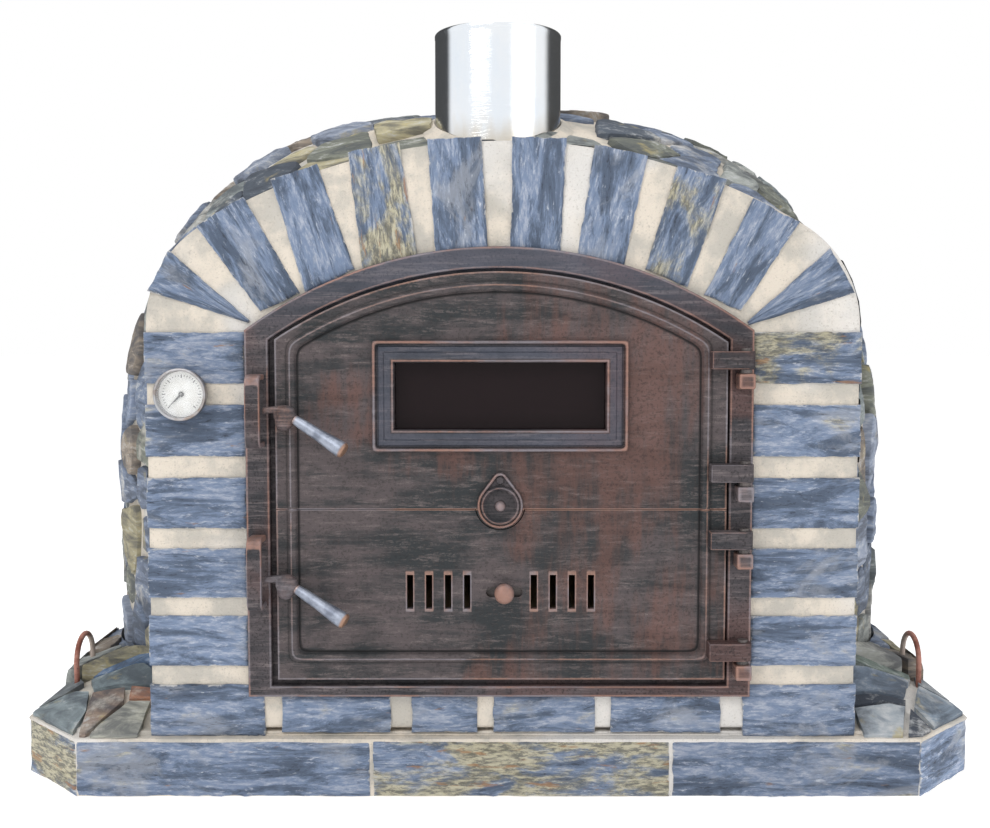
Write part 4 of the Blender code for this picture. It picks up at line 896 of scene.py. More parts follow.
# %% Sides of the arch
def arch_side_rubble():
    """Stones on the arch's outer band, whose coordinates are the way round and the depth."""
    line = arch_line(0.0, counts=(1, 60, 30, 90, 30, 60))
    line = np.concatenate([line[1:], [(ARCH_X - ARCH_HALF, SLAB_TOP + 0.004)]])
    way = np.insert(np.cumsum(np.linalg.norm(np.diff(line, axis=0), axis=1)), 0, 0.0)
    slope = np.gradient(line, way, axis=0)
    out = np.stack([slope[:, 1], -slope[:, 0]], -1)
    out /= np.linalg.norm(out, axis=1, keepdims=True)
    deep = (FACE_Y + 0.018, ARCH_BACK - 0.002)
    grid = [(t + rng.uniform(-0.014, 0.014), deep[0] + (deep[1] - deep[0]) * (k + 0.5) / 2
             + rng.uniform(-0.012, 0.012))
            for k in range(2) for t in np.arange(0.03 + 0.035 * k, way[-1], 0.078)]
    seeds = np.array(grid)
    offsets = to_neighbours(seeds, 7)

    def place(number, a, b, h):
        t = np.clip(seeds[number, 0] + a, 0.002, way[-1] - 0.001)
        y = np.clip(seeds[number, 1] + b, *deep)
        flat = np.stack([np.interp(t, way, line[:, k]) + np.interp(t, way, out[:, k]) * h
                         for k in (0, 1)], -1)
        return np.stack([flat[..., 0], y, flat[..., 1]], -1)

    count = len(seeds)
    block, faces, size = stones(place, offsets, 0.006, rng.uniform(-0.003, -0.0005, count), -0.012)
    colours = RUBBLE[rng.choice(5, count)] * rng.uniform(0.85, 1.2, (count, 1))
    return tidy(rubble_piece("arch_side_stones", block, faces, size, colours, ("front_arch",)))


def flue_collar():
    """A mortar fillet round the pipe's foot: its height wavers with the angle."""
    turn = np.arange(72) * 2 * np.pi / 72
    spoke = np.stack([np.cos(turn), np.sin(turn), 0 * turn], -1)
    rings = []
    for radius, lift in ((0.000, -0.030), (0.0004, -0.001), (0.003, -0.002), (0.008, -0.004),
                         (0.014, -0.007), (0.020, -0.014), (0.020, -0.030)):
        ring = spoke * (FLUE_R + 0.0006 + radius) + (0.0, FLUE_Y, 0.0)
        away = np.hypot(ring[:, 0], ring[:, 1] - DOME_Y) / DOME_A
        ring[:, 2] = DOME_FOOT + DOME_B * (1 - away ** DOME_N) ** (1 / DOME_N) + lift
        ring[:, 2] += 0.0012 * unevenness(ring * (1, 1, 0), 0.03, 41) * (lift > -0.02)
        rings.append(ring)
    grid = np.stack(rings)
    return tidy(piece("flue_collar", grid, grid_faces(len(rings), 72, True, True), mortar, "oven",
                      "mortar", (), 60))


arch_side_rubble()
flue_collar()
print("sides of the arch and flue collar made")

# %% [markdown]
# ## Paving on the slab's corners
# Flat pieces of broken slate rise from the slab's edge to the dome. The front corners show most,
# so each stone there is drawn as an outline in (x, y) millimetres, with a lift and a colour. Those
# further back grow round seeds drawn at random, as on the dome. The ground under a point rises
# with how far in it lies.

# %% Ground under the paving
PAVING_FOOT = SLAB_TOP + 0.013
STONE_FOOT = TILE_HIGH + 0.0022


def ground(x, y):
    """Height of the paving: full slope from the slab's edge to four fifths of its size."""
    flat = np.maximum(np.abs(x), np.abs(y)) / HALF
    cut = (np.abs(x) + np.abs(y)) / (2 * HALF - CUT)
    share = np.maximum(flat, cut)
    return PAVING_FOOT + 0.038 * np.clip((1 - share) / 0.2, 0, 1)


def verge(x, y):
    """How high paving may stand: a slope up from the slab's nearest edge."""
    to_edge = np.minimum(HALF - np.maximum(np.abs(x), np.abs(y)),
                         (2 * HALF - CUT - np.abs(x) - np.abs(y)) / math.sqrt(2))
    return TILE_HIGH + 0.0045 + 0.42 * to_edge


print("paving rises to", round(float(ground(0.0, 0.0)), 4))

# %% Stones laid one by one
LAID = [  # corners in plan (mm), lift (mm), colour
    ([(-446, -529), (-423, -492), (-398, -492), (-398, -546), (-452, -546)], 5, (0.46, 0.46, 0.40)),
    ([(-464, -545), (-457, -545), (-429, -491), (-434, -470), (-476, -460)], 4, (0.27, 0.20, 0.16)),
    ([(-478, -454), (-500, -398), (-424, -425), (-398, -455), (-398, -468), (-430, -464)], 6,
     (0.20, 0.25, 0.27)),
    ([(-425, -488), (-398, -489), (-398, -472), (-428, -468)], 9, (0.45, 0.21, 0.12)),
    ([(-545, -455), (-517, -438), (-481, -455), (-470, -500), (-472, -539), (-545, -467)], 2,
     (0.26, 0.31, 0.33)),
    ([(-545, -448), (-519, -432), (-506, -400), (-528, -352), (-545, -350)], 0, (0.27, 0.30, 0.31)),
    ([(-500, -390), (-428, -418), (-400, -446), (-400, -380), (-445, -340), (-498, -345)], 7,
     (0.12, 0.20, 0.34)),
    ([(404, -545), (448, -545), (468, -492), (404, -504)], 5, (0.34, 0.38, 0.42)),
    # near-black and sunk: painted shade of a crevice between stones
    ([(404, -500), (470, -488), (474, -478), (404, -484)], -5, (0.05, 0.06, 0.08)),
    ([(404, -480), (472, -474), (511, -384), (450, -420), (404, -440)], 9, (0.19, 0.24, 0.31)),
    # near-black and sunk: painted shade of a crevice between stones
    ([(453, -545), (470, -542), (486, -525), (473, -493)], -4, (0.06, 0.07, 0.09)),
    ([(478, -489), (515, -402), (545, -430), (545, -466), (490, -521)], 2, (0.25, 0.31, 0.38)),
    ([(452, -414), (514, -376), (524, -346), (500, -340), (450, -344), (404, -400)], 8,
     (0.21, 0.26, 0.23)),
    ([(518, -396), (545, -424), (545, -336), (529, -344)], 0, (0.22, 0.25, 0.28)),
]


def laid_stone(outline, lift, seed):
    """A flat stone: rings shrunk towards the middle of its outline, then walls down to its foot."""
    outline = np.array(outline, float) / 1000
    ahead = np.roll(outline, -1, axis=0)
    counts = np.maximum(np.linalg.norm(ahead - outline, axis=1) / 0.006, 2).astype(int)
    line = walk([straight(p, q) for p, q in zip(outline, ahead)], counts)
    middle = line.mean(0)
    seeded = np.insert(line, 2, seed * 0.7, axis=1)
    line = middle + (line - middle) * (1 - 0.035 * (1 + unevenness(seeded, 0.012, seed)))[:, None]
    share = np.array([0.3, 0.62, 0.9, 0.97, 1.0, 1.0])
    ring = middle + (line - middle) * share[:, None, None]
    rough = unevenness(np.insert(ring, 2, seed * 0.7, axis=2) * (1.0, 2.0, 1.0), 0.02, seed + 9)
    lean = rng.normal(0, 0.03, 2)
    z = (ground(*middle) * 0.4 + ground(ring[..., 0], ring[..., 1]) * 0.6 + lift / 1000
         + ((ring - middle) * lean).sum(-1) + 0.0016 * rough
         - np.array([0, 0, 0, 0.0006, 0.0028, 0])[:, None])
    z = np.minimum(z, verge(ring[..., 0], ring[..., 1]))
    z[-1] = STONE_FOOT
    return np.concatenate([ring, z[..., None]], -1), capped(*z.shape)


def laid_stones():
    """All stones of the list as one piece, each with its own colour."""
    bodies = [laid_stone(outline, lift, 300 + k) for k, (outline, lift, _) in enumerate(LAID)]
    colours = np.repeat([colour for *_, colour in LAID], [body[0].size // 3 for body in bodies], 0)
    points, faces = together(*bodies)
    return tidy(piece("front_paving", points, faces, rubble, "oven", "dome_stone",
                      ("paving_front_left", "paving_front_right"), 30, own_colour=colours))


# %% Stones further back
def paving():
    """Stones round seeds on the slab, clear of the dome and the arch."""
    side = np.stack(np.meshgrid((-0.53, -0.49, 0.49, 0.53), np.arange(-0.39, -0.2, 0.072)), -1)
    grid = np.stack(np.meshgrid(np.arange(-0.53, 0.55, 0.068), np.arange(-0.19, 0.55, 0.064)), -1)
    seeds = np.concatenate([side.reshape(-1, 2), grid.reshape(-1, 2)])
    seeds = seeds + rng.uniform(-0.016, 0.016, seeds.shape)
    out = np.hypot(seeds[:, 0], seeds[:, 1] - DOME_Y) > DOME_A - 0.03
    inside = (np.abs(seeds).max(1) < HALF - 0.004) & (np.abs(seeds).sum(1) < 2 * HALF - CUT - 0.01)
    seeds = seeds[out & inside]
    lift = rng.uniform(0, 0.005, len(seeds))
    own = RUBBLE[rng.choice(len(RUBBLE) - 1, len(seeds))]
    offsets = to_neighbours(seeds, 9)
    shown = seeds[:, 1] > -0.34      # those further forward only bound their neighbours
    seeds, offsets, lift, own = seeds[shown], offsets[shown], lift[shown], own[shown]

    def place(number, a, b, h):
        x, y = seeds[number, 0] + a, seeds[number, 1] + b
        # kept on the slab, off the dome and off the arch, and no two stones in one plane
        slant = 0.25 * (np.asarray(h) + 0.013) + 0.0007 * (np.asarray(number) % 4)
        share = np.maximum(np.maximum(np.abs(x), np.abs(y)) / (HALF - 0.0025 - slant),
                           (np.abs(x) + np.abs(y)) / (2 * HALF - CUT - 0.004 - 1.4 * slant))
        x, y = x / np.maximum(share, 1), y / np.maximum(share, 1)
        reach = np.hypot(x, y - DOME_Y)
        push = np.maximum((DOME_A + 0.004) / reach, 1)
        x, y = x * push, (y - DOME_Y) * push + DOME_Y
        side = np.sign(x - ARCH_X)
        beside = (y < ARCH_BACK) & (np.abs(x - ARCH_X) < ARCH_HALF + 0.004)
        x = np.where(beside, ARCH_X + side * (ARCH_HALF + 0.004), x)
        z = np.where(np.asarray(h) < -0.012, STONE_FOOT,
                     ground(x, y) + h + 0 * x)
        share = np.maximum(np.abs(x), np.abs(y)) / HALF
        x, y = x / np.maximum(share * 1.003, 1), y / np.maximum(share * 1.003, 1)
        return np.stack([x, y, np.maximum(z, STONE_FOOT)], -1)

    block, faces, size = stones(place, offsets, 0.0045, lift + 0.001, -0.013)
    nodes = [f"paving_{end}_{side}" for end in ("front", "rear") for side in ("left", "right")]
    tidy(rubble_piece("paving_stones", block, faces, size, own, nodes))
    print("paving stones:", len(seeds) + len(LAID))


def paving_bed():
    """Mortar under the paving: the slab's outline moved in step by step, rising with the ground."""
    insets = [0.012, 0.012, 0.02, 0.035, 0.055, 0.085, 0.11, 0.16]
    grid = np.stack([np.insert(along_octagon(inset, 0.014), 2, 0.0, axis=1) for inset in insets])
    x, y = grid[..., 0], grid[..., 1]
    grid[..., 2] = ground(x, y) - 0.012 + 0.002 * unevenness(grid, 0.03, 44)
    grid[..., 2] = np.minimum(grid[..., 2], verge(x, y) - 0.007)
    under_arch = (np.abs(x - ARCH_X) < ARCH_HALF + 0.004) & (y < ARCH_BACK)
    grid[..., 2] = np.where(under_arch, SLAB_TOP - 0.003, grid[..., 2])
    grid[[0, -1], :, 2] = SLAB_TOP - 0.005
    rows, columns = grid.shape[:2]
    return tidy(piece("paving_bed", grid, grid_faces(rows, columns, True, True), mortar, "oven",
                      "mortar", (), 60))


paving()
laid_stones()
paving_bed()

# %% [markdown]
# ## Metal finishes
# The door is cast iron, painted black and rubbed with copper, so the copper shows on the raised
# lines and in faint brush strokes. An attribute called `raised` is 1 on crests and edges; below
# zero it paints shade, near-black, into hollows and grooves. The other metals are brushed
# stainless steel, plain steel and rusty rod.

# %% Metals
def rubbed(paint, colour, raised, rub, copper, cast, strokes):
    """Near-black painted shade in the hollows of cast iron, then copper where it is rubbed."""
    # painted shade: near-black where `raised` falls below zero, in hollows and grooves
    colour = paint.over(colour, (0.010, 0.010, 0.011), raised, -0.1, -0.7, 0.85)
    return paint.done(Base_Color=paint.mix(rub * 0.8, colour, copper),
                      Metallic=rub * 0.35 + 0.12, Roughness=cast * 0.25 + 0.38,
                      Normal=paint.bump(cast * 0.65 + strokes * 0.35, 0.0012, 0.85))


def iron_finish(name="cast_iron", warm=0.0, pale=0.0):
    """Blackened iron with copper on what stands out; `warm` shows more of it, `pale` greys it."""
    paint = Paint(name, Specular_IOR_Level=0.25)
    where, raised, cool = paint.place(), paint.value("raised"), paint.value("cool")
    strokes = paint.noise(paint.place((14.0, 14.0, 230.0)), 1.0, 6.0, 0.75, 0.3)
    long = paint.noise(paint.place((5.0, 5.0, 60.0)), 1.0, 5.0, 0.65, 0.5)
    cast = paint.noise(where, 330.0, 4.0, 0.7)
    cloud = paint.noise(where, 9.0, 6.0, 0.65, 0.3)
    colour = paint.mix(paint.step(cloud * 0.5 + long * 0.5, 0.42, 0.58), (0.028, 0.029, 0.034),
                       (0.074, 0.063, 0.068))
    colour = paint.over(colour, (0.215, 0.180, 0.180), strokes, 0.49, 0.66, 0.6)
    red = paint.step(paint.noise(where, 4.2, 5.0, 0.6, 0.6) + raised * 0.05, 0.48, 0.62)
    colour = paint.mix(red * 0.45, colour, (0.140, 0.066, 0.055))
    colour = paint.over(colour, (0.014, 0.013, 0.014), cast, 0.50, 0.64, 0.65)
    colour = paint.mix(cool * cloud * 0.9, colour, (0.085, 0.098, 0.135))
    rub = paint.step(raised + strokes * 0.5 + cast * 0.4 + (warm - 0.40), 0.66, 1.15)
    copper = paint.mix(paint.step(cloud + pale, 0.42, 0.58), (0.37, 0.215, 0.170),
                       (0.27, 0.25, 0.275))
    return rubbed(paint, colour, raised, rub, copper, cast, strokes)


def grip_finish():
    """Blue-grey steel with fine dark specks, browned towards both ends."""
    paint = Paint("grip_steel", Metallic=0.7)
    where, worn = paint.place(), paint.value("raised")
    specks = paint.noise(where, 300.0, 4.0, 0.7)
    patch = paint.noise(where, 60.0, 4.0, 0.6)
    colour = paint.mix(paint.step(patch, 0.35, 0.65), (0.17, 0.19, 0.24), (0.34, 0.37, 0.44))
    colour = paint.over(colour, (0.33, 0.20, 0.14), worn + patch * 0.5, 0.75, 1.2)
    colour = paint.over(colour, (0.10, 0.09, 0.10), specks, 0.62, 0.75, 0.6)
    return paint.done(Base_Color=colour, Roughness=specks * 0.2 + 0.36,
                      Normal=paint.bump(specks, 0.0004, 0.6))


def stainless_finish():
    """Thin sheet steel: fine level scratches, and smoke-brown stains that thicken at the foot."""
    paint = Paint("stainless_steel", Metallic=1.0)
    scratch = paint.noise(paint.place((20.0, 20.0, 900.0)), 1.0, 3.0, 0.7)
    cloud = paint.noise(paint.place((12.0, 12.0, 5.0)), 1.0, 4.0, 0.6)
    foot = paint.value("raised")
    colour = paint.mix(paint.step(cloud, 0.35, 0.65), (0.84, 0.90, 0.97), (0.93, 0.95, 0.97))
    colour = paint.over(colour, (0.55, 0.46, 0.32), foot + cloud * 0.8, 1.02, 1.35, 0.7)
    return paint.done(Base_Color=colour, Roughness=scratch * 0.08 + cloud * 0.06 + 0.06,
                      Normal=paint.bump(scratch, 0.00025, 0.5))


def steel_finish():
    paint = Paint("plain_steel", Metallic=1.0)
    grain = paint.noise(paint.place(), 240.0, 4.0, 0.7)
    stain = paint.noise(paint.place(), 35.0, 4.0, 0.6)
    colour = paint.mix(paint.step(stain, 0.42, 0.66), (0.42, 0.42, 0.44), (0.26, 0.20, 0.16))
    return paint.done(Base_Color=colour, Roughness=grain * 0.25 + 0.32,
                      Normal=paint.bump(grain, 0.0003, 0.6))


def rust_finish():
    """Rusted rod: salmon to dark red scale over grey steel, pale where it is rubbed."""
    paint = Paint("rusty_steel", Specular_IOR_Level=0.3)
    scale = paint.noise(paint.place(), 190.0, 5.0, 0.7)
    patch, tone = paint.noise(paint.place(), 45.0, 4.0, 0.6), paint.value("raised")
    colour = paint.mix(paint.step(patch, 0.36, 0.60), (0.235, 0.085, 0.060), (0.50, 0.25, 0.20))
    colour = paint.over(colour, (0.50, 0.42, 0.37), tone + patch * 0.4, 0.7, 1.1)
    colour = paint.over(colour, (0.09, 0.055, 0.05), scale, 0.60, 0.74, 0.8)
    return paint.done(Base_Color=colour, Metallic=patch * 0.4 + 0.1, Roughness=scale * 0.3 + 0.6,
                      Normal=paint.bump(scale, 0.0012, 0.9))


iron, warm_iron, worn_iron = (
    iron_finish(), iron_finish("rubbed_iron", 0.42), iron_finish("worn_iron", 0.80, 0.09))
grip_steel, stainless, plain_steel, rust = (
    grip_finish(), stainless_finish(), steel_finish(), rust_finish())

# %% [markdown]
# ## Flue and lifting loops
# The flue is a rolled tube with a turned edge: a closed profile turned round its axis. A lifting
# loop is a circle carried along a path that goes up, over a half circle and down.

# %% Flue
def flue():
    top, foot, wall = FLUE_MAX.z, FLUE_MIN.z, 0.0016
    outer = [(FLUE_R - 0.0004, z) for z in np.linspace(foot, top - 0.006, 40)]
    lip = [(FLUE_R, top - 0.0040), (FLUE_R, top - 0.0012), (FLUE_R - 0.0008, top - 0.0002),
           (FLUE_R - 0.0020, top - 0.0005), (FLUE_R - 0.0028, top - 0.0022)]
    inner = [(FLUE_R - wall - 0.0014, z) for z in np.linspace(top - 0.006, foot, 12)]
    profile = outer + lip + inner
    points, faces = turned(profile, (0.0, FLUE_Y, 0.0), steps=96)
    height = (points[:, 2] - foot) / (top - foot)
    dent = unevenness(points * (1, 1, 0.6), 0.10, 51, 2)
    away = points[:, :2] - (0.0, FLUE_Y)
    points[:, :2] -= away / FLUE_R * (0.0005 * np.abs(dent))[:, None]
    return tidy(piece("flue", points, faces, stainless, "oven", "stainless_steel",
                      ("flue_pipe",), 40, raised=1.0 - height))


def swept(path, radius, sides=12):
    """A circle carried along a path, in the plane of one fixed axis and the path's normal."""
    path = np.asarray(path, float)
    ahead = np.gradient(path, axis=0)
    ahead /= np.linalg.norm(ahead, axis=1, keepdims=True)
    fixed = np.array([1.0, 0.0, 0.0])
    side = np.cross(ahead, fixed)
    side /= np.linalg.norm(side, axis=1, keepdims=True)
    turn = np.arange(sides) * 2 * np.pi / sides
    radius = np.broadcast_to(radius, len(path))
    grid = (path[:, None] + radius[:, None, None]
            * (np.cos(turn)[:, None] * fixed + np.sin(turn)[:, None] * side[:, None]))
    return grid, capped(len(path), sides)


def loops():
    for end in ("front", "rear"):
        for side in ("left", "right"):
            low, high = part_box(f"lifting_loop_{end}_{side}")
            x, r = (low.x + high.x) / 2, (high.x - low.x) / 2
            first, last, bend = low.y + r, high.y - r, (high.y - low.y) / 2 - r
            turn = np.linspace(math.pi, 0, 28)
            over = np.stack([(first + last) / 2 + bend * np.cos(turn),
                             high.z - r - bend + bend * np.sin(turn)], -1)
            up = np.linspace(low.z, over[0, 1] - 0.002, 14)
            path = np.concatenate([np.stack([0 * up + first, up], -1), over,
                                   np.stack([0 * up + last, up[::-1]], -1)])
            path = np.insert(path, 0, x, axis=1)
            wobble = 0.0006 * unevenness(path, 0.02, 60)
            path[:, 0] += wobble * (side == "left")
            grid, faces = swept(path, r * (0.94 + 0.05 * unevenness(path, 0.008, 61)))
            pale = np.repeat(np.clip((path[:, 1] - first) / (last - first), 0, 1), grid.shape[1])
            if end == "rear":
                pale = 1 - pale
            tidy(piece(f"loop_{end}_{side}", grid, faces, rust, "oven", "rusty_steel",
                       (f"lifting_loop_{end}_{side}",), 50, raised=pale))


flue()
loops()
print("flue top at", round(FLUE_MAX.z, 4))

# %% [markdown]
# ## The door frame
# The frame is one casting: a flange that covers the joint with the mortar, a lip that the leaves
# shut against and a collar that runs back into the arch. Every line of it follows the door's
# outline, so the whole frame is a closed stack of such lines. Close pairs of lines round off its
# edges, and they also carry the attribute that lets copper show there.

# %% Lines of the door
FINE = (120, 100, 150, 100)         # points along the bottom, right, crown and left of a line
BORDER_SIDE, BORDER_LOW, BORDER_TOP = 0.026, 0.0125, 0.0235
SEAM, LEAF_LEFT, LEAF_RIGHT, LEAF_THICK = 0.3215, -0.242, 0.2485, 0.008
LEAF_LOW, LEAF_RADIUS = 0.133, CROWN - 0.0265


def opening_line(inset=0.0):
    """Where the leaves lie, moved in: the frame's outline less its borders."""
    half = FRAME_HALF - BORDER_SIDE - inset
    return door_line(DOOR_X - half, DOOR_X + half, DOOR_MIN.z + BORDER_LOW + inset,
                     CROWN - BORDER_TOP - inset, FINE)


def rounded(line, times):
    """Softens a closed line's corners by taking the mean of each point and its neighbours."""
    for _ in range(times):
        line = (np.roll(line, 1, 0) + 2 * line + np.roll(line, -1, 0)) / 4
    return line


def door_frame():
    outer, inner = (lambda d: frame_line(d, FINE)), opening_line
    rows = [  # line, depth behind the front, raised
        (outer(0), 0.0100, 0), (outer(0), 0.0016, 0.5), (outer(0.0006), 0.0005, 1.0),
        (outer(0.0020), 0.0, 0.9), (outer(0.0045), 0.0003, 0.2), (outer(0.0070), 0.0009, 0.0),
        (inner(-0.0070), 0.0009, 0.0), (inner(-0.0040), 0.0003, 0.3), (inner(-0.0018), 0.0, 0.9),
        (inner(-0.0005), 0.0005, 0.8), (inner(0), 0.0016, 0.4), (inner(0), 0.0100, 0),
        (inner(0.0095), 0.0100, 0), (inner(0.0100), 0.0105, 0.3), (inner(0.0100), 0.0180, 0),
        (outer(0.0200), 0.0180, 0), (outer(0.0200), 0.0600, 0), (outer(0.0120), 0.0600, 0),
        (outer(0.0120), 0.0100, 0)]
    grid, faces = ring_body([line for line, _, _ in rows], [FRONT + deep for _, deep, _ in rows])
    grid[1:10, :, 1] += 0.0003 + 0.0003 * unevenness(grid[1:10], 0.02, 71)
    raised = np.repeat([value for *_, value in rows], grid.shape[1])
    cool = np.clip((grid[..., 2] - 0.50) / 0.08, 0, 1).ravel()
    return tidy(piece("frame", grid, faces, iron, "oven", "cast_iron", ("door_frame",), 40,
                      raised=raised, cool=cool))


door_frame()
print("door frame:", round(2 * FRAME_HALF, 4), "m wide")

# %% [markdown]
# ## The leaves
# Both leaves are first made as one casting: flat, with a rolled edge and a half-round bead that
# runs right round. The bead's lines are softened at the corners, as a moulder would. It is then
# parted at the seam, where the spyhole's lobe dips into the lower leaf, and the openings are cut.

# %% Leaf finish
SPY_X, SPY_Z, SPY_R = 0.002, 0.3263, 0.0248
SLOT_X, SLOT_STEP, SLOT_FIRST = 0.0024, 0.0208, 0.0364
SLOT_LOW, SLOT_HIGH, SLOT_HALF = 0.2119, 0.2495, 0.0035


def leaf_finish():
    """Iron as before, with painted copper highlights along the seam and the rims of the air slots.
    """
    paint = Paint("leaf_iron", Specular_IOR_Level=0.25)
    where, raised = paint.place(), paint.value("raised")
    parts = [paint.node("SeparateXYZ", (), (where,), k) for k in range(3)]
    strokes = paint.noise(paint.place((34.0, 34.0, 230.0)), 1.0, 7.0, 0.8, 0.3)
    long = paint.noise(paint.place((4.0, 4.0, 50.0)), 1.0, 6.0, 0.65, 0.6)
    cast = paint.noise(where, 330.0, 4.0, 0.7)
    cloud = paint.noise(where, 8.0, 6.0, 0.65, 0.3)
    upright = paint.noise(paint.place((60.0, 10.0, 6.0)), 1.0, 5.0, 0.7, 0.3)
    # painted highlight: copper along the seam and beside the air slots, where those edges catch the
    # light
    seam = 1 - paint.step((parts[2] - SEAM).sum("ABSOLUTE"), 0.0006, 0.0019)
    off = (parts[0] - SLOT_X).sum("ABSOLUTE") - (SLOT_FIRST - SLOT_STEP / 2)
    wrapped = off.sum("MODULO", SLOT_STEP) - SLOT_STEP / 2
    beside = 1 - paint.step(wrapped.sum("ABSOLUTE"), 0.0042, 0.0062)
    within = (paint.step(parts[2], SLOT_LOW - 0.006, SLOT_LOW - 0.002)
              * (1 - paint.step(parts[2], SLOT_HIGH + 0.002, SLOT_HIGH + 0.010))
              * paint.step(off, 0.0, 0.001) * (1 - paint.step(off, 0.0815, 0.0825)))
    raised = raised + seam * 1.15 + beside * within * 1.0
    colour = paint.mix(paint.step(cloud * 0.6 + long * 0.4, 0.44, 0.57), (0.026, 0.030, 0.033),
                       (0.088, 0.072, 0.074))
    colour = paint.over(colour, (0.225, 0.185, 0.180),
                        strokes * 0.65 + cast * 0.35, 0.49, 0.63, 0.65)
    red = paint.step(paint.noise(where, 3.4, 5.0, 0.6, 0.6) * 0.7 + upright * 0.3, 0.49, 0.60)
    colour = paint.mix(red * 0.55, colour, (0.160, 0.075, 0.058))
    colour = paint.over(colour, (0.014, 0.013, 0.014), cast, 0.49, 0.62, 0.5)
    rub = paint.step(raised + strokes * 0.5 + cast * 0.4, 1.06, 1.58)
    copper = paint.mix(paint.step(cloud, 0.42, 0.58), (0.38, 0.225, 0.175), (0.28, 0.26, 0.285))
    return rubbed(paint, colour, raised, rub, copper, cast, strokes)


leaf_iron = leaf_finish()
print("finish of the leaves:", leaf_iron.name)


# %% Leaves
def leaf_line(inset):
    return door_line(LEAF_LEFT + inset, LEAF_RIGHT - inset, LEAF_LOW + inset,
                     LEAF_RADIUS - inset, FINE)


def bead_line(grow):
    return rounded(door_line(LEAF_LEFT + 0.0185 - grow, LEAF_RIGHT - 0.0235 + grow,
                             LEAF_LOW + 0.0257 - grow, LEAF_RADIUS - 0.0163 + grow, FINE), 7)


def arc_points(centre, radius, first, last, steps=40):
    turn = np.radians(np.linspace(first, last, steps))
    return [(centre[0] + radius * math.cos(t), centre[1] + radius * math.sin(t)) for t in turn]


def leaf_keep(upper):
    """The part of the plane that belongs to one leaf, with the lobe round the spyhole."""
    level = SEAM + (0.0004 if upper else -0.0004)
    radius = SPY_R + (0.0017 if upper else 0.0027)
    dip = math.degrees(math.asin((SPY_Z - level) / radius))
    lobe = arc_points((SPY_X, SPY_Z), radius, 180 + dip, 360 - dip)
    if upper:
        return [(-0.4, level), *lobe, (0.4, level), (0.4, 0.9), (-0.4, 0.9)]
    return [(-0.4, 0.05), (0.4, 0.05), (0.4, level), *lobe[::-1], (-0.4, level)]


def leaf_body(name, leaf, upper):
    half = 0.0052
    across = np.linspace(half, -half, 13)
    crest = np.sqrt(np.clip(1 - (across / half)**2, 0, 1))**0.8
    # `raised` below zero paints shade, near-black: strongly in the hollows just outside and inside
    # the bead, faintly on its inner flank
    rows = [(leaf_line(0), LEAF_THICK, 0), (leaf_line(0), 0.0014, 0.4),
            (leaf_line(0.0005), 0.0004, 1.0), (leaf_line(0.0018), 0.0, 0.9),
            (leaf_line(0.0045), 0.0002, 0.15), (bead_line(half + 0.0035), 0.0003, 0.0),
            (bead_line(half + 0.0008), 0.0005, -0.5)]
    edge = np.exp(-((across - 0.0014) / 0.0022)**2)
    rows += [(bead_line(g), -0.0050 * c, e * 1.2 - 0.25) for g, c, e in zip(across, crest, edge)]
    rows += [(bead_line(-half - 0.0006), 0.0006, -0.9), (bead_line(-half - 0.0022), 0.0003, -0.5),
             (bead_line(-half - 0.004), 0.0003, 0.0)]
    grid = at_depths([line for line, *_ in rows], [FRONT + deep for _, deep, _ in rows])
    made = tidy(piece(name, grid, capped(*grid.shape[:2], True), leaf_iron, leaf, "cast_iron",
                      (leaf,), 40, raised=np.repeat([value for *_, value in rows], grid.shape[1])))
    carve(made, *prism(leaf_keep(upper), FRONT - 0.05, FRONT + 0.05), operation="INTERSECT")
    return made


def rectangle(cx, cz, half_x, half_z):
    return [(cx - half_x, cz - half_z), (cx + half_x, cz - half_z), (cx + half_x, cz + half_z),
            (cx - half_x, cz + half_z)]


def through(made, outline):
    return carve(made, *prism(outline, FRONT - 0.05, FRONT + 0.05))


WIN_X, WIN_Z, WIN_HALF_X, WIN_HALF_Z = 0.002, 0.4449, 0.1145, 0.0363
upper_leaf = leaf_body("leaf_upper", "upper_leaf", True)
through(upper_leaf, rectangle(WIN_X, WIN_Z, WIN_HALF_X + 0.0008, WIN_HALF_Z + 0.0008))
through(upper_leaf, arc_points((SPY_X, SPY_Z), 0.009, 0, 350, 36))
lower_leaf = leaf_body("leaf_lower", "lower_leaf", False)
for step in range(4):
    for sign in (-1, 1):
        x = SLOT_X + sign * (SLOT_FIRST + SLOT_STEP * step)
        through(lower_leaf, rectangle(x, (SLOT_LOW + SLOT_HIGH) / 2, SLOT_HALF,
                                      (SLOT_HIGH - SLOT_LOW) / 2))
KNOB_X, KNOB_Z = 0.0065, 0.2305
slot_round = (arc_points((KNOB_X + 0.0142, KNOB_Z), 0.0058, -90, 90, 14)
              + arc_points((KNOB_X - 0.0142, KNOB_Z), 0.0058, 90, 270, 14))
through(lower_leaf, slot_round)
print("leaf points:", len(upper_leaf.data.vertices), len(lower_leaf.data.vertices))


# %% [markdown]
# The window is framed by a raised moulding. Going inwards it has a narrow bead, a groove, a
# sloping band and a fine inner edge, so its profile is a list of how far out and how deep each
# line lies.

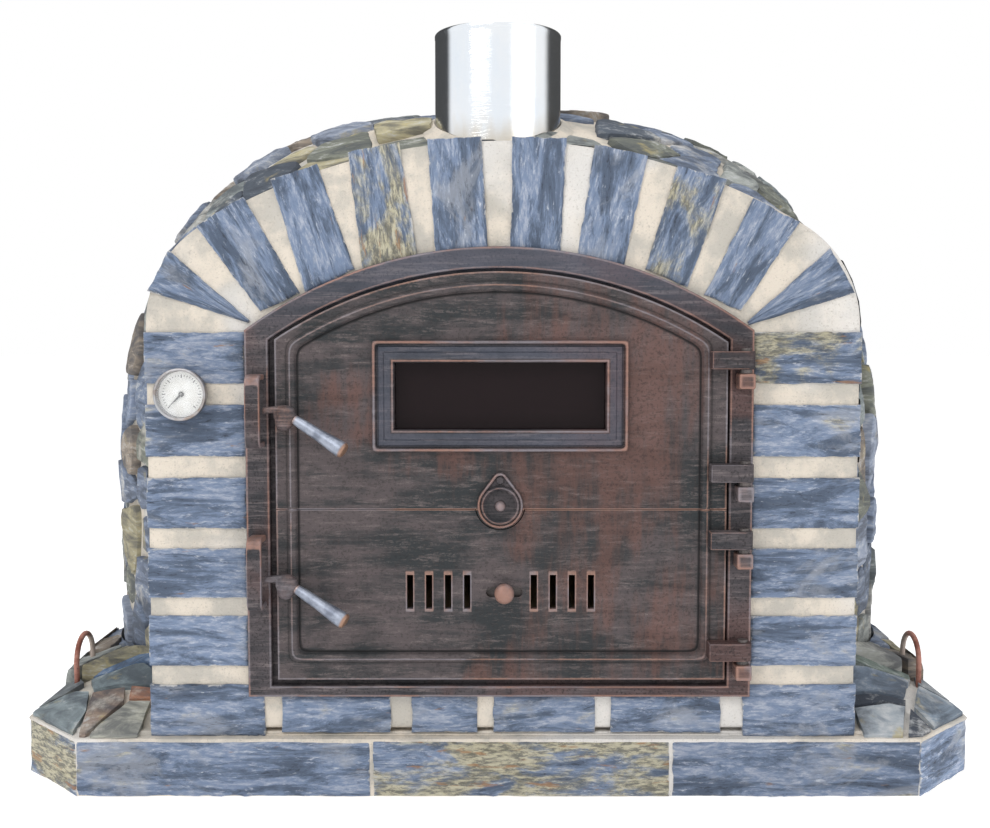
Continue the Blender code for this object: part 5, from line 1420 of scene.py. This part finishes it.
# %% Window surround
def window_surround():
    def frame_at(grow, count=46):
        hx, hz = WIN_HALF_X + grow, WIN_HALF_Z + grow
        corner = [(WIN_X - hx, WIN_Z - hz), (WIN_X + hx, WIN_Z - hz), (WIN_X + hx, WIN_Z + hz),
                  (WIN_X - hx, WIN_Z + hz)]
        return walk([straight(corner[k], corner[(k + 1) % 4]) for k in range(4)], (80, count) * 2)

    # rows with `raised` below zero paint shade, near-black, in the groove behind the narrow bead
    profile = [  # outwards from the opening, depth, raised
        (0.0240, 0.0006, 0.0), (0.0240, -0.0030, 0.3), (0.0236, -0.0050, 0.8),
        (0.0226, -0.0060, 1.0), (0.0214, -0.0060, 1.0), (0.0203, -0.0050, 0.8),
        (0.0198, -0.0030, 0.2), (0.0192, -0.0008, -0.3), (0.0176, -0.0008, -0.3),
        (0.0168, -0.0020, 0.1), (0.0120, -0.0026, 0.2), (0.0112, -0.0020, -0.1),
        (0.0104, -0.0029, 0.25), (0.0046, -0.0038, 0.2), (0.0036, -0.0046, 0.6),
        (0.0022, -0.0052, 1.0), (0.0008, -0.0048, 0.8), (0.0, -0.0034, 0.3), (0.0, 0.0079, 0.0),
        (0.0030, 0.0079, 0.0), (0.0030, 0.0006, 0.0)]
    grid, faces = ring_body([rounded(frame_at(g), 2 if g > 0.019 else 0) for g, *_ in profile],
                            [FRONT + deep for _, deep, _ in profile])
    n = grid.shape[1]
    return tidy(piece("window_surround", grid, faces, iron, "upper_leaf", "cast_iron",
                      ("upper_leaf",), 32, raised=np.repeat([r for *_, r in profile], n),
                      cool=np.repeat([0.004 < g < 0.018 for g, *_ in profile], n)))


window_surround()


# %% [markdown]
# ## Hinges, keepers and latches
# A rounded block is the set of points at one distance from a smaller box: each point of a cube's
# surface goes to the nearest place in the inner box and then out by the radius. The hinge bars
# and knuckles are such blocks. A keeper is a flat bar bent into a bow.

# %% Blocks and bars
def rounded_block(low, high, radius, cells=7):
    """Nearest place in the inner box, plus radius times the direction from it."""
    low, high = np.asarray(low, float), np.asarray(high, float)
    half, centre = (high - low) / 2, (high + low) / 2
    edge = np.linspace(0, 1, 4)[:-1]
    points, faces, first = [], [], 0
    for axis in range(3):
        for sign in (-1, 1):
            p, q = (axis + 1) % 3, (axis + 2) % 3
            lines = []
            for k in (p, q):
                inner = half[k] - radius
                middle = np.linspace(-inner, inner, cells)
                lines.append(np.concatenate([-half[k] + radius * edge, middle,
                                             half[k] - radius * edge[::-1]]))
            a, b = np.meshgrid(*lines, indexing="ij")
            block = np.zeros((*a.shape, 3))
            block[..., axis], block[..., p], block[..., q] = sign * half[axis], a, b
            near = np.clip(block, -(half - radius), half - radius)
            away = block - near
            away /= np.linalg.norm(away, axis=-1, keepdims=True) + 1e-12
            block = near + away * radius + centre
            made = np.array(grid_faces(*a.shape)) + first
            faces += (made if sign > 0 else made[:, ::-1]).tolist()
            points.append(block.reshape(-1, 3))
            first += a.size
    return np.concatenate(points), faces


def edge_wear(points, low, high, reach=0.0022):
    """1 at a block's edges, fading inwards: the middle one of the three distances to its sides."""
    gap = np.minimum(points - np.asarray(low), np.asarray(high) - points)
    return np.clip(1.25 - np.sort(gap, axis=1)[:, 1] / reach, 0, 1)


HINGE_X, HINGE_Y = 0.265, FRONT - 0.0115
LUGS, END_R = (0.4742, 0.3530, 0.2803, 0.1587), 0.0096        # feet of the bars; their round ends
for number, foot in enumerate(LUGS, 1):
    leaf = "upper_leaf" if number < 3 else "lower_leaf"
    low, high = (0.2275, HINGE_Y - 0.0098, foot), (0.2752, HINGE_Y + 0.0092, foot + 0.0195)
    root = rounded_block((0.2285, HINGE_Y - 0.006, foot + 0.0008),
                         (0.2478, FRONT + 0.002, foot + 0.0187), 0.0012)
    points, faces = together(rounded_block(low, high, 0.0022), root)
    # the end is round, so that it turns clear of the frame
    away = points[:, :2] - (HINGE_X, HINGE_Y)
    reach = np.linalg.norm(away, axis=1)
    past = (away[:, 0] > 0) & (reach > END_R)
    points[past, :2] = (HINGE_X, HINGE_Y) + away[past] * (END_R / reach[past])[:, None]
    points[:, 1] += 0.0003 * unevenness(points, 0.012, 80 + number)
    tidy(piece(f"hinge_bar_{number}", points, faces, iron, leaf, "cast_iron", (leaf,), 45,
               raised=edge_wear(points, low, high)))
    top = foot - 0.0045
    low, high = (0.2563, HINGE_Y - 0.0098, top - 0.0165), (0.2738, FRONT + 0.0006, top)
    points, faces = rounded_block(low, high, 0.0020)
    points += 0.0003 * unevenness(points, 0.010, 90 + number)[:, None]
    tidy(piece(f"knuckle_{number}", points, faces, warm_iron, "oven", "cast_iron",
               ("door_frame",), 45, raised=edge_wear(points, low, high) * 0.6 + 0.35))


def bent_bar(path, width, thick, x_middle):
    """A flat bar bent along a path of (y, z): a rounded rectangle carried along it."""
    path = np.asarray(path, float)
    ahead = np.gradient(path, axis=0)
    ahead /= np.linalg.norm(ahead, axis=1, keepdims=True)
    out = np.stack([-ahead[:, 1], ahead[:, 0]], -1)
    turn = np.linspace(0, 2 * np.pi, 29)[:-1]
    section = np.stack([np.sign(np.cos(turn)) * np.abs(np.cos(turn))**0.25 * width / 2,
                        np.sign(np.sin(turn)) * np.abs(np.sin(turn))**0.4 * thick / 2], -1)
    grid = np.zeros((len(path), len(section), 3))
    grid[..., 0] = x_middle + section[:, 0]
    grid[..., 1:] = path[:, None] + out[:, None] * section[:, 1][None, :, None]
    return grid, capped(len(path), len(section))


KEEPER_BEND, KEEPER_THICK = 0.007, 0.0062
for name in ("upper_keeper", "lower_keeper"):
    low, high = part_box(name)
    face, half, middle = low.y + 0.003, KEEPER_THICK / 2, (low.x + high.x) / 2
    legs = np.linspace(high.y - 0.0004, face + KEEPER_BEND, 6)
    corner = np.linspace(0, np.pi / 2, 8)[1:-1]
    lower = np.concatenate([
        np.stack([legs, 0 * legs + low.z + half], -1),
        np.stack([face + KEEPER_BEND - KEEPER_BEND * np.sin(corner),
                  low.z + half + KEEPER_BEND - KEEPER_BEND * np.cos(corner)], -1)])
    rise = np.linspace(low.z + half + KEEPER_BEND, high.z - half - KEEPER_BEND, 20)
    upper = ((0.0, low.z + high.z) + lower * (1, -1))[::-1]
    path = np.concatenate([lower, np.stack([0 * rise + face, rise], -1), upper])
    grid, faces = bent_bar(path, high.x - low.x, KEEPER_THICK, middle)
    grid[..., 1] += 0.0004 * unevenness(grid, 0.012, 95)
    rise = (grid[..., 2] - low.z) / (high.z - low.z)
    wear = np.clip(np.abs(grid[..., 0] - middle) / 0.008, 0, 1)**6 + (rise > 0.85) * 0.5
    tidy(piece(f"{name}_bow", grid, faces, warm_iron, "oven", "cast_iron", (name,), 45,
               raised=np.clip(wear, 0, 1).ravel()))
print("hinge bars, knuckles and keepers made")

# %% [markdown]
# A latch turns on a spindle. Its casting is a fat drop with an arm that slips behind the keeper
# and a neck for the grip. Several simple bodies overlap, and a voxel remesh melts them into one
# casting with soft hollows between them. The grip is a tapered steel bar, turned from a profile.

# %% Latches
LATCH_X, LATCH_Y = -0.229, FRONT - 0.01665
DROP, OUT = math.radians(31), math.radians(13)
GRIP_WAY = np.array([math.cos(DROP) * math.cos(OUT), -math.sin(OUT),
                     -math.sin(DROP) * math.cos(OUT)])


def ball(centre, radii, steps=24):
    """A ball drawn out along three axes: radius times (cos, sin) of two angles."""
    lat = np.linspace(-np.pi / 2, np.pi / 2, steps // 2 + 1)
    profile = np.stack([np.cos(lat), np.sin(lat)], -1)
    profile[[0, -1], 0] = 0.0
    points, faces = turned(profile, (0, 0, 0), (0, 0, 1), steps)
    return points * radii + centre, faces


for name, height in (("upper", 0.4200), ("lower", 0.2375)):
    root = np.array([LATCH_X, LATCH_Y, height + 0.008])
    y_back = FRONT - 0.0065
    arm = rounded_block((-0.2522, LATCH_Y - 0.0040, height + 0.0090),
                        (-0.2260, LATCH_Y + 0.0040, height + 0.0162), 0.0022)
    arm[0][:, 2] += (arm[0][:, 0] + 0.2260) * 0.10
    web = rounded_block((-0.2400, LATCH_Y - 0.0038, height + 0.0010),
                        (-0.2240, LATCH_Y + 0.0038, height + 0.0135), 0.0025)
    drop = ball((LATCH_X, LATCH_Y + 0.0006, height - 0.0008), (0.0100, 0.0100, 0.0108))
    brow = ball((LATCH_X + 0.0015, LATCH_Y, height + 0.0085), (0.0105, 0.0085, 0.0075))
    barrel = turned([(0.0, 0.0), (0.0088, 0.0), (0.0088, 0.010), (0.0, 0.010)],
                    (LATCH_X, y_back, height), (0, -1, 0), 28)
    neck = turned([(0.0, -0.004), (0.0072, -0.002), (0.0066, 0.010), (0.0052, 0.0138),
                   (0.0, 0.0138)], root, GRIP_WAY, 24)
    points, faces = together(arm, web, drop, brow, barrel, neck)
    casting = piece(f"{name}_latch_casting", points, faces, worn_iron, f"{name}_latch", "cast_iron",
                    (f"{name}_latch",), 60)
    tidy(casting)
    melt = casting.modifiers.new("melt", "REMESH")
    melt.mode, melt.voxel_size, melt.use_smooth_shade = "VOXEL", 0.0007, True
    soften = casting.modifiers.new("soften", "SMOOTH")
    soften.factor, soften.iterations = 0.5, 7
    along = np.linspace(0, 1, 26)
    radius = 0.0049 + 0.0036 * along + 0.0003 * np.sin(along * 9)
    profile = [(0.0, 0.0), (0.0040, 0.0), *zip(radius, along * 0.0615)]
    profile += [(0.0085, 0.0630), (0.0078, 0.0648), (0.0062, 0.0657), (0.0, 0.0660)]
    points, faces = turned(profile, root + GRIP_WAY * 0.0140, GRIP_WAY, 32)
    length = (points - root) @ GRIP_WAY - 0.014
    ends = np.clip(1 - length / 0.010, 0, 1) * 0.8 + np.clip((length - 0.058) / 0.006, 0, 1)
    tidy(piece(f"{name}_latch_grip", points, faces, grip_steel, f"{name}_latch", "grip_steel",
               (f"{name}_grip",), 40, raised=ends))
    boss = turned([(0.0, -0.002), (0.0104, -0.002), (0.0104, 0.0040), (0.0098, 0.0052),
                   (0.0085, 0.0058), (0.0, 0.0058)], (LATCH_X, FRONT, height), (0, -1, 0), 32)
    leaf = f"{name}_leaf"
    tidy(piece(f"{name}_latch_pad", *boss, iron, leaf, "cast_iron", (leaf,), 40,
               raised=np.full(len(boss[0]), 0.35)))
print("latches made")


# %% [markdown]
# ## Spyhole cover and shutter knob
# The cover is drop-shaped: the outline round two circles, here with straight lines that touch
# both. Inside its rim lies a dished disc with a small boss. The knob of the air shutter is
# turned.

# %% Spyhole cover
PIVOT_Z = 0.3535


def drop_line(inset):
    """Two arcs and the two straight lines that touch them, moved in by a distance."""
    big, small, apart = SPY_R - inset, 0.0085 - inset, PIVOT_Z - SPY_Z
    lean = math.asin((SPY_R - 0.0085) / apart)
    round_low = bow((SPY_X, SPY_Z), big, math.pi - lean, 2 * math.pi + lean)
    round_top = bow((SPY_X, PIVOT_Z), small, lean, math.pi - lean)
    start, end = round_low(np.array([0.0, 1.0])), round_top(np.array([0.0, 1.0]))
    return walk([round_low, straight(start[1], end[0]), round_top, straight(end[1], start[0])],
                (60, 10, 20, 10))


def spyhole_cover():
    rows = [  # inset, depth, raised
        (0.0, -0.0015, 0.2), (0.0, -0.0046, 0.6), (0.0006, -0.0058, 1.0), (0.0016, -0.0064, 1.2),
        (0.0028, -0.0058, 1.0), (0.0034, -0.0046, 0.4), (0.0040, -0.0040, 0.0)]
    grid = at_depths([drop_line(inset) for inset, *_ in rows],
                     [FRONT + deep for _, deep, _ in rows])
    dish = turned([(0.0, -0.0030), (0.0212, -0.0030), (0.0212, -0.0066), (0.0204, -0.0078),
                   (0.0190, -0.0082), (0.0178, -0.0074), (0.0166, -0.0056), (0.0140, -0.0046),
                   (0.0080, -0.0048), (0.0062, -0.0060), (0.0054, -0.0100), (0.0046, -0.0130),
                   (0.0030, -0.0148), (0.0, -0.0154)], (SPY_X, FRONT, SPY_Z), (0, 1, 0), 48)
    # below zero, `raised` paints shade, near-black, into the hollow of the dish
    dish_raised = np.repeat([0, 0, .2, .7, .9, .5, -.3, -.4, -.3, 0.1, 1.0, 1.3, 1.5, 1.6], 48)
    points, faces = together((grid, capped(*grid.shape[:2], True)), dish)
    raised = np.concatenate([np.repeat([value for *_, value in rows], grid.shape[1]), dish_raised])
    return tidy(piece("spyhole_flap", points, faces, iron, "spyhole_cover", "cast_iron",
                      ("spyhole_cover",), 40, raised=raised))


def shutter_knob():
    lat = np.linspace(-0.36 * np.pi, np.pi / 2, 16)
    head = np.stack([0.0108 * np.cos(lat), 0.0085 + 0.0076 * np.sin(lat)], -1)
    head[-1, 0] = 0.0
    profile = [(0.0, -0.0100), (0.0042, -0.0100), (0.0042, 0.0012), *head]
    points, faces = turned(profile, (KNOB_X, FRONT, KNOB_Z), (0, -1, 0), 36)
    points[:, 2] = KNOB_Z + (points[:, 2] - KNOB_Z) * 1.04
    return tidy(piece("air_knob", points, faces, warm_iron, "shutter", "cast_iron",
                      ("shutter_knob",), 50, raised=np.full(len(points), 0.75)))


spyhole_cover()
shutter_knob()
print("spyhole cover and knob made")

# %% [markdown]
# ## Thermometer
# A dial thermometer sits in the left pier. It has a thin steel rim turned from a profile, a white
# face with a ring of plain ticks, a flat glass and a needle. The ticks are a few dozen thin bars.

# %% Thermometer
CASE_MIN, CASE_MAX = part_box("thermometer_case")
GAUGE = np.array([(CASE_MIN.x + CASE_MAX.x) / 2, 0.0, (CASE_MIN.z + CASE_MAX.z) / 2])
GAUGE_R = (CASE_MAX.x - CASE_MIN.x) / 2
DIAL_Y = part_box("thermometer_dial")[0].y


def dial_finish():
    paint = Paint("dial_white", Roughness=0.35)
    age = paint.noise(paint.place(), 90.0, 4.0, 0.6)
    return paint.done(Base_Color=paint.mix(paint.step(age, 0.40, 0.65), (0.93, 0.93, 0.91),
                                           (0.84, 0.83, 0.79)),
                      Normal=paint.bump(age, 0.0002, 0.3))


def ink_finish():
    paint = Paint("needle_black", Roughness=0.45)
    age = paint.noise(paint.place(), 300.0, 3.0, 0.6)
    return paint.done(Base_Color=paint.mix(age, (0.015, 0.015, 0.017), (0.06, 0.058, 0.055)),
                      Normal=paint.bump(age, 0.0001, 0.4))


def glass_finish(name, colour, alpha, gloss=0.5):
    """Glass as a dark or clear film: mirror-smooth, with a breath of dust in its roughness."""
    paint = Paint(name, Alpha=alpha, Specular_IOR_Level=gloss)
    dust = paint.noise(paint.place(), 30.0, 5.0, 0.65, 0.3)
    return paint.done(Base_Color=paint.mix(dust, colour, tuple(1.25 * c for c in colour)),
                      Roughness=paint.step(dust, 0.45, 0.75) * 0.12 + 0.05,
                      Normal=paint.bump(dust, 0.00008, 0.3))


dial_white, ink = dial_finish(), ink_finish()
clear_glass = glass_finish("clear_glass", (0.75, 0.77, 0.78), 0.12)
door_glass = glass_finish("door_glass", (0.014, 0.009, 0.010), 0.88, 0.12)


def thermometer():
    front, back = CASE_MIN.y, CASE_MAX.y
    profile = [(GAUGE_R - 0.0012, back), (GAUGE_R - 0.0008, front + 0.0050),
               (GAUGE_R, front + 0.0042), (GAUGE_R, front + 0.0012),
               (GAUGE_R - 0.0006, front + 0.0003), (GAUGE_R - 0.0016, front),
               (GAUGE_R - 0.0026, front + 0.0004), (GAUGE_R - 0.0032, front + 0.0016),
               (GAUGE_R - 0.0033, DIAL_Y + 0.0008), (0.0, DIAL_Y + 0.0008), (0.0, back)]
    points, faces = turned(profile, GAUGE, (0, 1, 0), 72)
    rim = np.repeat([0, 0, 0.3, 0.4, 0.8, 1, 0.8, 0.4, 0, 0, 0], 72)
    tidy(piece("gauge_rim", points, faces, plain_steel, "oven", "stainless_steel",
               ("thermometer_case",), 40, raised=rim))
    face, radius = turned([(0.0, 0.0), (GAUGE_R - 0.0036, 0.0), (GAUGE_R - 0.0036, 0.0006),
                           (0.0, 0.0006)], GAUGE + (0, DIAL_Y, 0), (0, 1, 0), 72), GAUGE_R - 0.0072
    tidy(piece("gauge_face", *face, dial_white, "oven", "dial_white", ("thermometer_dial",), 40))
    ticks = []
    for number, angle in enumerate(np.radians(np.arange(225, -46, -9))):
        long = 0.0036 if number % 5 == 0 else 0.0020
        way = np.array([math.cos(angle), 0.0, math.sin(angle)])
        side = np.array([-way[2], 0.0, way[0]]) * (0.00028 if number % 5 else 0.00045)
        middle = GAUGE + (0, DIAL_Y - 0.00008, 0)
        base = [middle + way * r + side * s for r, s in
                ((radius, -1), (radius, 1), (radius - long, 1), (radius - long, -1))]
        ticks.append(prism(np.array(base)[:, ::2], middle[1], middle[1] + 0.0002))
    points, faces = together(*ticks)
    tidy(piece("gauge_ticks", points, faces, ink, "oven", "needle_black", (), 40))


thermometer()

# %% [markdown]
# ## Inside the oven
# Behind the open leaves the dome is bare firebrick. Its courses follow the height and its upright
# joints the angle round the dome, so the brick pattern is built from those two numbers. The other
# hidden layers and the small steel parts keep the shapes they have and get a finish.

# %% Inner finishes
def brick_finish(name, centre_y, floor_tiles=False):
    """Courses 64 mm high, bricks 230 mm long, every second course moved by half a brick."""
    paint = Paint(name, Specular_IOR_Level=0.2)
    where = paint.place()
    x, y, z = (paint.node("SeparateXYZ", (), (where,), k) for k in range(3))
    if floor_tiles:
        along, level, long, high = x + 5.0, y + 5.0, 0.30, 0.30
    else:
        along = (y - centre_y).sum("ARCTAN2", x) * 0.45 + 5.0
        level, long, high = z + 5.0, 0.23, 0.064
    up = level * (1 / high)
    row = up.sum("FLOOR")
    across = along * (1 / long) + row.sum("MODULO", 2.0) * (0.0 if floor_tiles else 0.5)
    near_u, near_v = ((way.sum("FRACT") - 0.5).sum("ABSOLUTE") for way in (across, up))
    joint = paint.step(near_u, 0.5 - 0.006 / long, 0.5 - 0.002 / long)
    joint = joint.sum("MAXIMUM", paint.step(near_v, 0.5 - 0.006 / high, 0.5 - 0.002 / high))
    number = paint.node("CombineXYZ", (), (across.sum("FLOOR"), row, 0.0))
    own = paint.node("TexWhiteNoise", {"noise_dimensions": "3D"}, (number,))
    grain, cloud = paint.noise(where, 160.0, 5.0, 0.7), paint.noise(where, 7.0, 5.0, 0.6)
    colour = paint.mix(own, (0.62, 0.46, 0.29), (0.52, 0.34, 0.20))
    colour = paint.over(colour, (0.34, 0.22, 0.13), grain, 0.55, 0.70, 0.6)
    colour = paint.mix(joint, colour, (0.46, 0.42, 0.37))
    soot = paint.step(cloud + z * 0.5, 0.50, 0.86)
    colour = paint.mix(soot * (0.35 if floor_tiles else 0.85), colour, (0.035, 0.032, 0.030))
    return paint.done(Base_Color=colour, Roughness=grain * 0.1 + 0.85,
                      Normal=paint.bump(grain * 0.2 - joint, 0.0018, 0.9))


def plain_finish(name, first, second, scale, rough, metal=0.0, relief=0.0006):
    """Two tones of one colour in blotches with a fine grain."""
    paint = Paint(name, Metallic=metal)
    blotch = paint.noise(paint.place(), scale, 5.0, 0.6, 0.3)
    grain = paint.noise(paint.place(), scale * 12, 4.0, 0.7)
    colour = paint.mix(paint.step(blotch * 0.6 + grain * 0.4, 0.40, 0.60), first, second)
    return paint.done(Base_Color=colour, Roughness=grain * 0.2 + rough,
                      Normal=paint.bump(grain * 0.5 + blotch * 0.5, relief, 0.7))


firebrick = brick_finish("firebrick", DOME_Y)
floor_brick = brick_finish("floor_firebrick", DOME_Y, True)
blanket = plain_finish("ceramic_blanket", (0.80, 0.79, 0.76), (0.90, 0.90, 0.88), 25.0, 0.8,
                       relief=0.003)
board = plain_finish("insulating_board", (0.62, 0.60, 0.54), (0.74, 0.72, 0.66), 18.0, 0.75)
gasket = plain_finish("rope_gasket", (0.20, 0.19, 0.18), (0.36, 0.35, 0.33), 60.0, 0.7,
                      relief=0.001)
bolt_steel = plain_finish("bolt_steel", (0.30, 0.29, 0.29), (0.46, 0.45, 0.45), 60.0, 0.30,
                          1.0, 0.0003)
dark_steel = plain_finish("shutter_steel", (0.07, 0.065, 0.065), (0.15, 0.13, 0.125), 40.0,
                          0.40, 0.6)

WEARS = {
    firebrick: "brick_dome", floor_brick: "oven_floor", blanket: "insulation_blanket",
    board: "floor_insulation", gasket: "glass_seal", door_glass: "window_glass",
    clear_glass: "thermometer_glass", ink: "thermometer_needle", stainless: "flue_spigot",
    warm_iron: "spyhole_pin",
    dark_steel: "glass_retainer shutter_plate shutter_guide_upper shutter_guide_lower "
                "hinge_pin_1 hinge_pin_2 hinge_pin_3 hinge_pin_4",
    bolt_steel: "thermometer_stem upper_latch_nut lower_latch_nut "
                "retainer_screw_1 retainer_screw_2 retainer_screw_3 retainer_screw_4",
}
FINISHES = {name: finish for finish, names in WEARS.items() for name in names.split()}
for name, finish in FINISHES.items():
    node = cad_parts[name]
    node.data.materials.clear()
    node.data.materials.append(finish)
    if len(node.data.polygons) < 3000:
        edge = node.modifiers.new("edge", "BEVEL")
        edge.width, edge.segments, edge.limit_method = 0.0004, 2, "ANGLE"
        edge.angle_limit = math.radians(50)
left_plain = [name for name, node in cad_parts.items()
              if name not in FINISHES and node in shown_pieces()]
print("nodes finished:", len(FINISHES), "still plain:", left_plain)

# %% [markdown]
# ## Floor, light and camera
# A pale floor runs into a white surround. Two large soft lights and one from above model the
# relief. Mirror-like steel also needs something dark to reflect, so glossy rays see a surround
# that darkens behind the oven, while the camera sees plain white.

# %% Floor
FLOOR_HALF, FLOOR_DROP = 30.0, 0.0004
floor_points = [(x * FLOOR_HALF, y * FLOOR_HALF, -FLOOR_DROP)
                for x, y in ((-1, -1), (1, -1), (1, 1), (-1, 1))]
floor_mesh = bpy.data.meshes.new("floor")
floor_mesh.from_pydata(floor_points, [], [[0, 1, 2, 3]])
floor = bpy.data.objects.new("floor", floor_mesh)
bpy.context.scene.collection.objects.link(floor)
floor_paint = Paint("floor_white", Roughness=0.9, Specular_IOR_Level=0.1, Emission_Strength=0.5)
tone = floor_paint.noise(floor_paint.place(), 2.0, 3.0)
floor_mesh.materials.append(floor_paint.done(
    Base_Color=floor_paint.mix(tone, (0.93, 0.93, 0.93), (0.97, 0.97, 0.97))))

# %% Light


def area_light(name, place, target, size, power):
    """A square soft light at a place, turned towards a target."""
    light = bpy.data.lights.new(name, "AREA")
    light.size, light.energy = size, power
    made = bpy.data.objects.new(name, light)
    bpy.context.scene.collection.objects.link(made)
    made.location = place
    way = np.array(target, float) - np.array(place, float)
    made.rotation_euler = (math.atan2(np.hypot(way[0], way[1]), -way[2]), 0.0,
                           math.atan2(way[1], way[0]) - math.pi / 2)
    return made


LIGHTS = {  # place, target, size (m), power (W)
    "key": ((-1.5, -2.6, 2.5), (0.0, 0.0, 0.35), 1.6, 42),
    "fill": ((2.2, -2.4, 1.2), (0.0, 0.0, 0.35), 2.0, 13),
    "top": ((0.2, -0.2, 3.2), (0.0, 0.0, 0.4), 2.2, 26)}
for name, values in LIGHTS.items():
    area_light(name, *values)
print("lights:", ", ".join(LIGHTS))

# %% Surround
DIFFUSE_SKY, NEAR_SKY, FAR_SKY = 0.56, 0.95, 0.07      # far is what mirrors see behind the oven


class Surround(Paint):
    """The world's node tree, built in the same way as a finish."""

    def __init__(self, name):
        world = bpy.data.worlds.new(name)
        bpy.context.scene.world = world
        world.use_nodes = True
        self.tree = world.node_tree


sky = Surround("surround")
behind = sky.node("SeparateXYZ", (), (sky.node("TexCoord", (), (), "Generated"),), "Y")
darkening = sky.node("MapRange", (), {"Value": behind, "From Min": 0.08, "From Max": 0.24,
                                      "To Min": NEAR_SKY, "To Max": FAR_SKY})
glossy = sky.node("Mix", (), {0: sky.node("LightPath", (), (), "Is Glossy Ray"), 2: DIFFUSE_SKY,
                              3: darkening})
seen = sky.node("Mix", (), {0: sky.node("LightPath", (), (), "Is Camera Ray"), 2: glossy, 3: 1.0})
background = sky.tree.nodes["Background"]
background.inputs["Color"].default_value = (1.0, 1.0, 1.0, 1.0)
sky.tree.links.new(seen.socket, background.inputs["Strength"])

# %% Camera
view = bpy.data.cameras.new("camera")
view.lens, view.sensor_width = 43.70, 36.0
camera = bpy.data.objects.new("camera", view)
bpy.context.scene.collection.objects.link(camera)
camera.location = (-0.0036, -1.8473, 0.5092)
camera.rotation_euler = (math.radians(90 - 3.69), 0.0, 0.0)
bpy.context.scene.camera = camera
bpy.context.scene.view_settings.view_transform = "Standard"
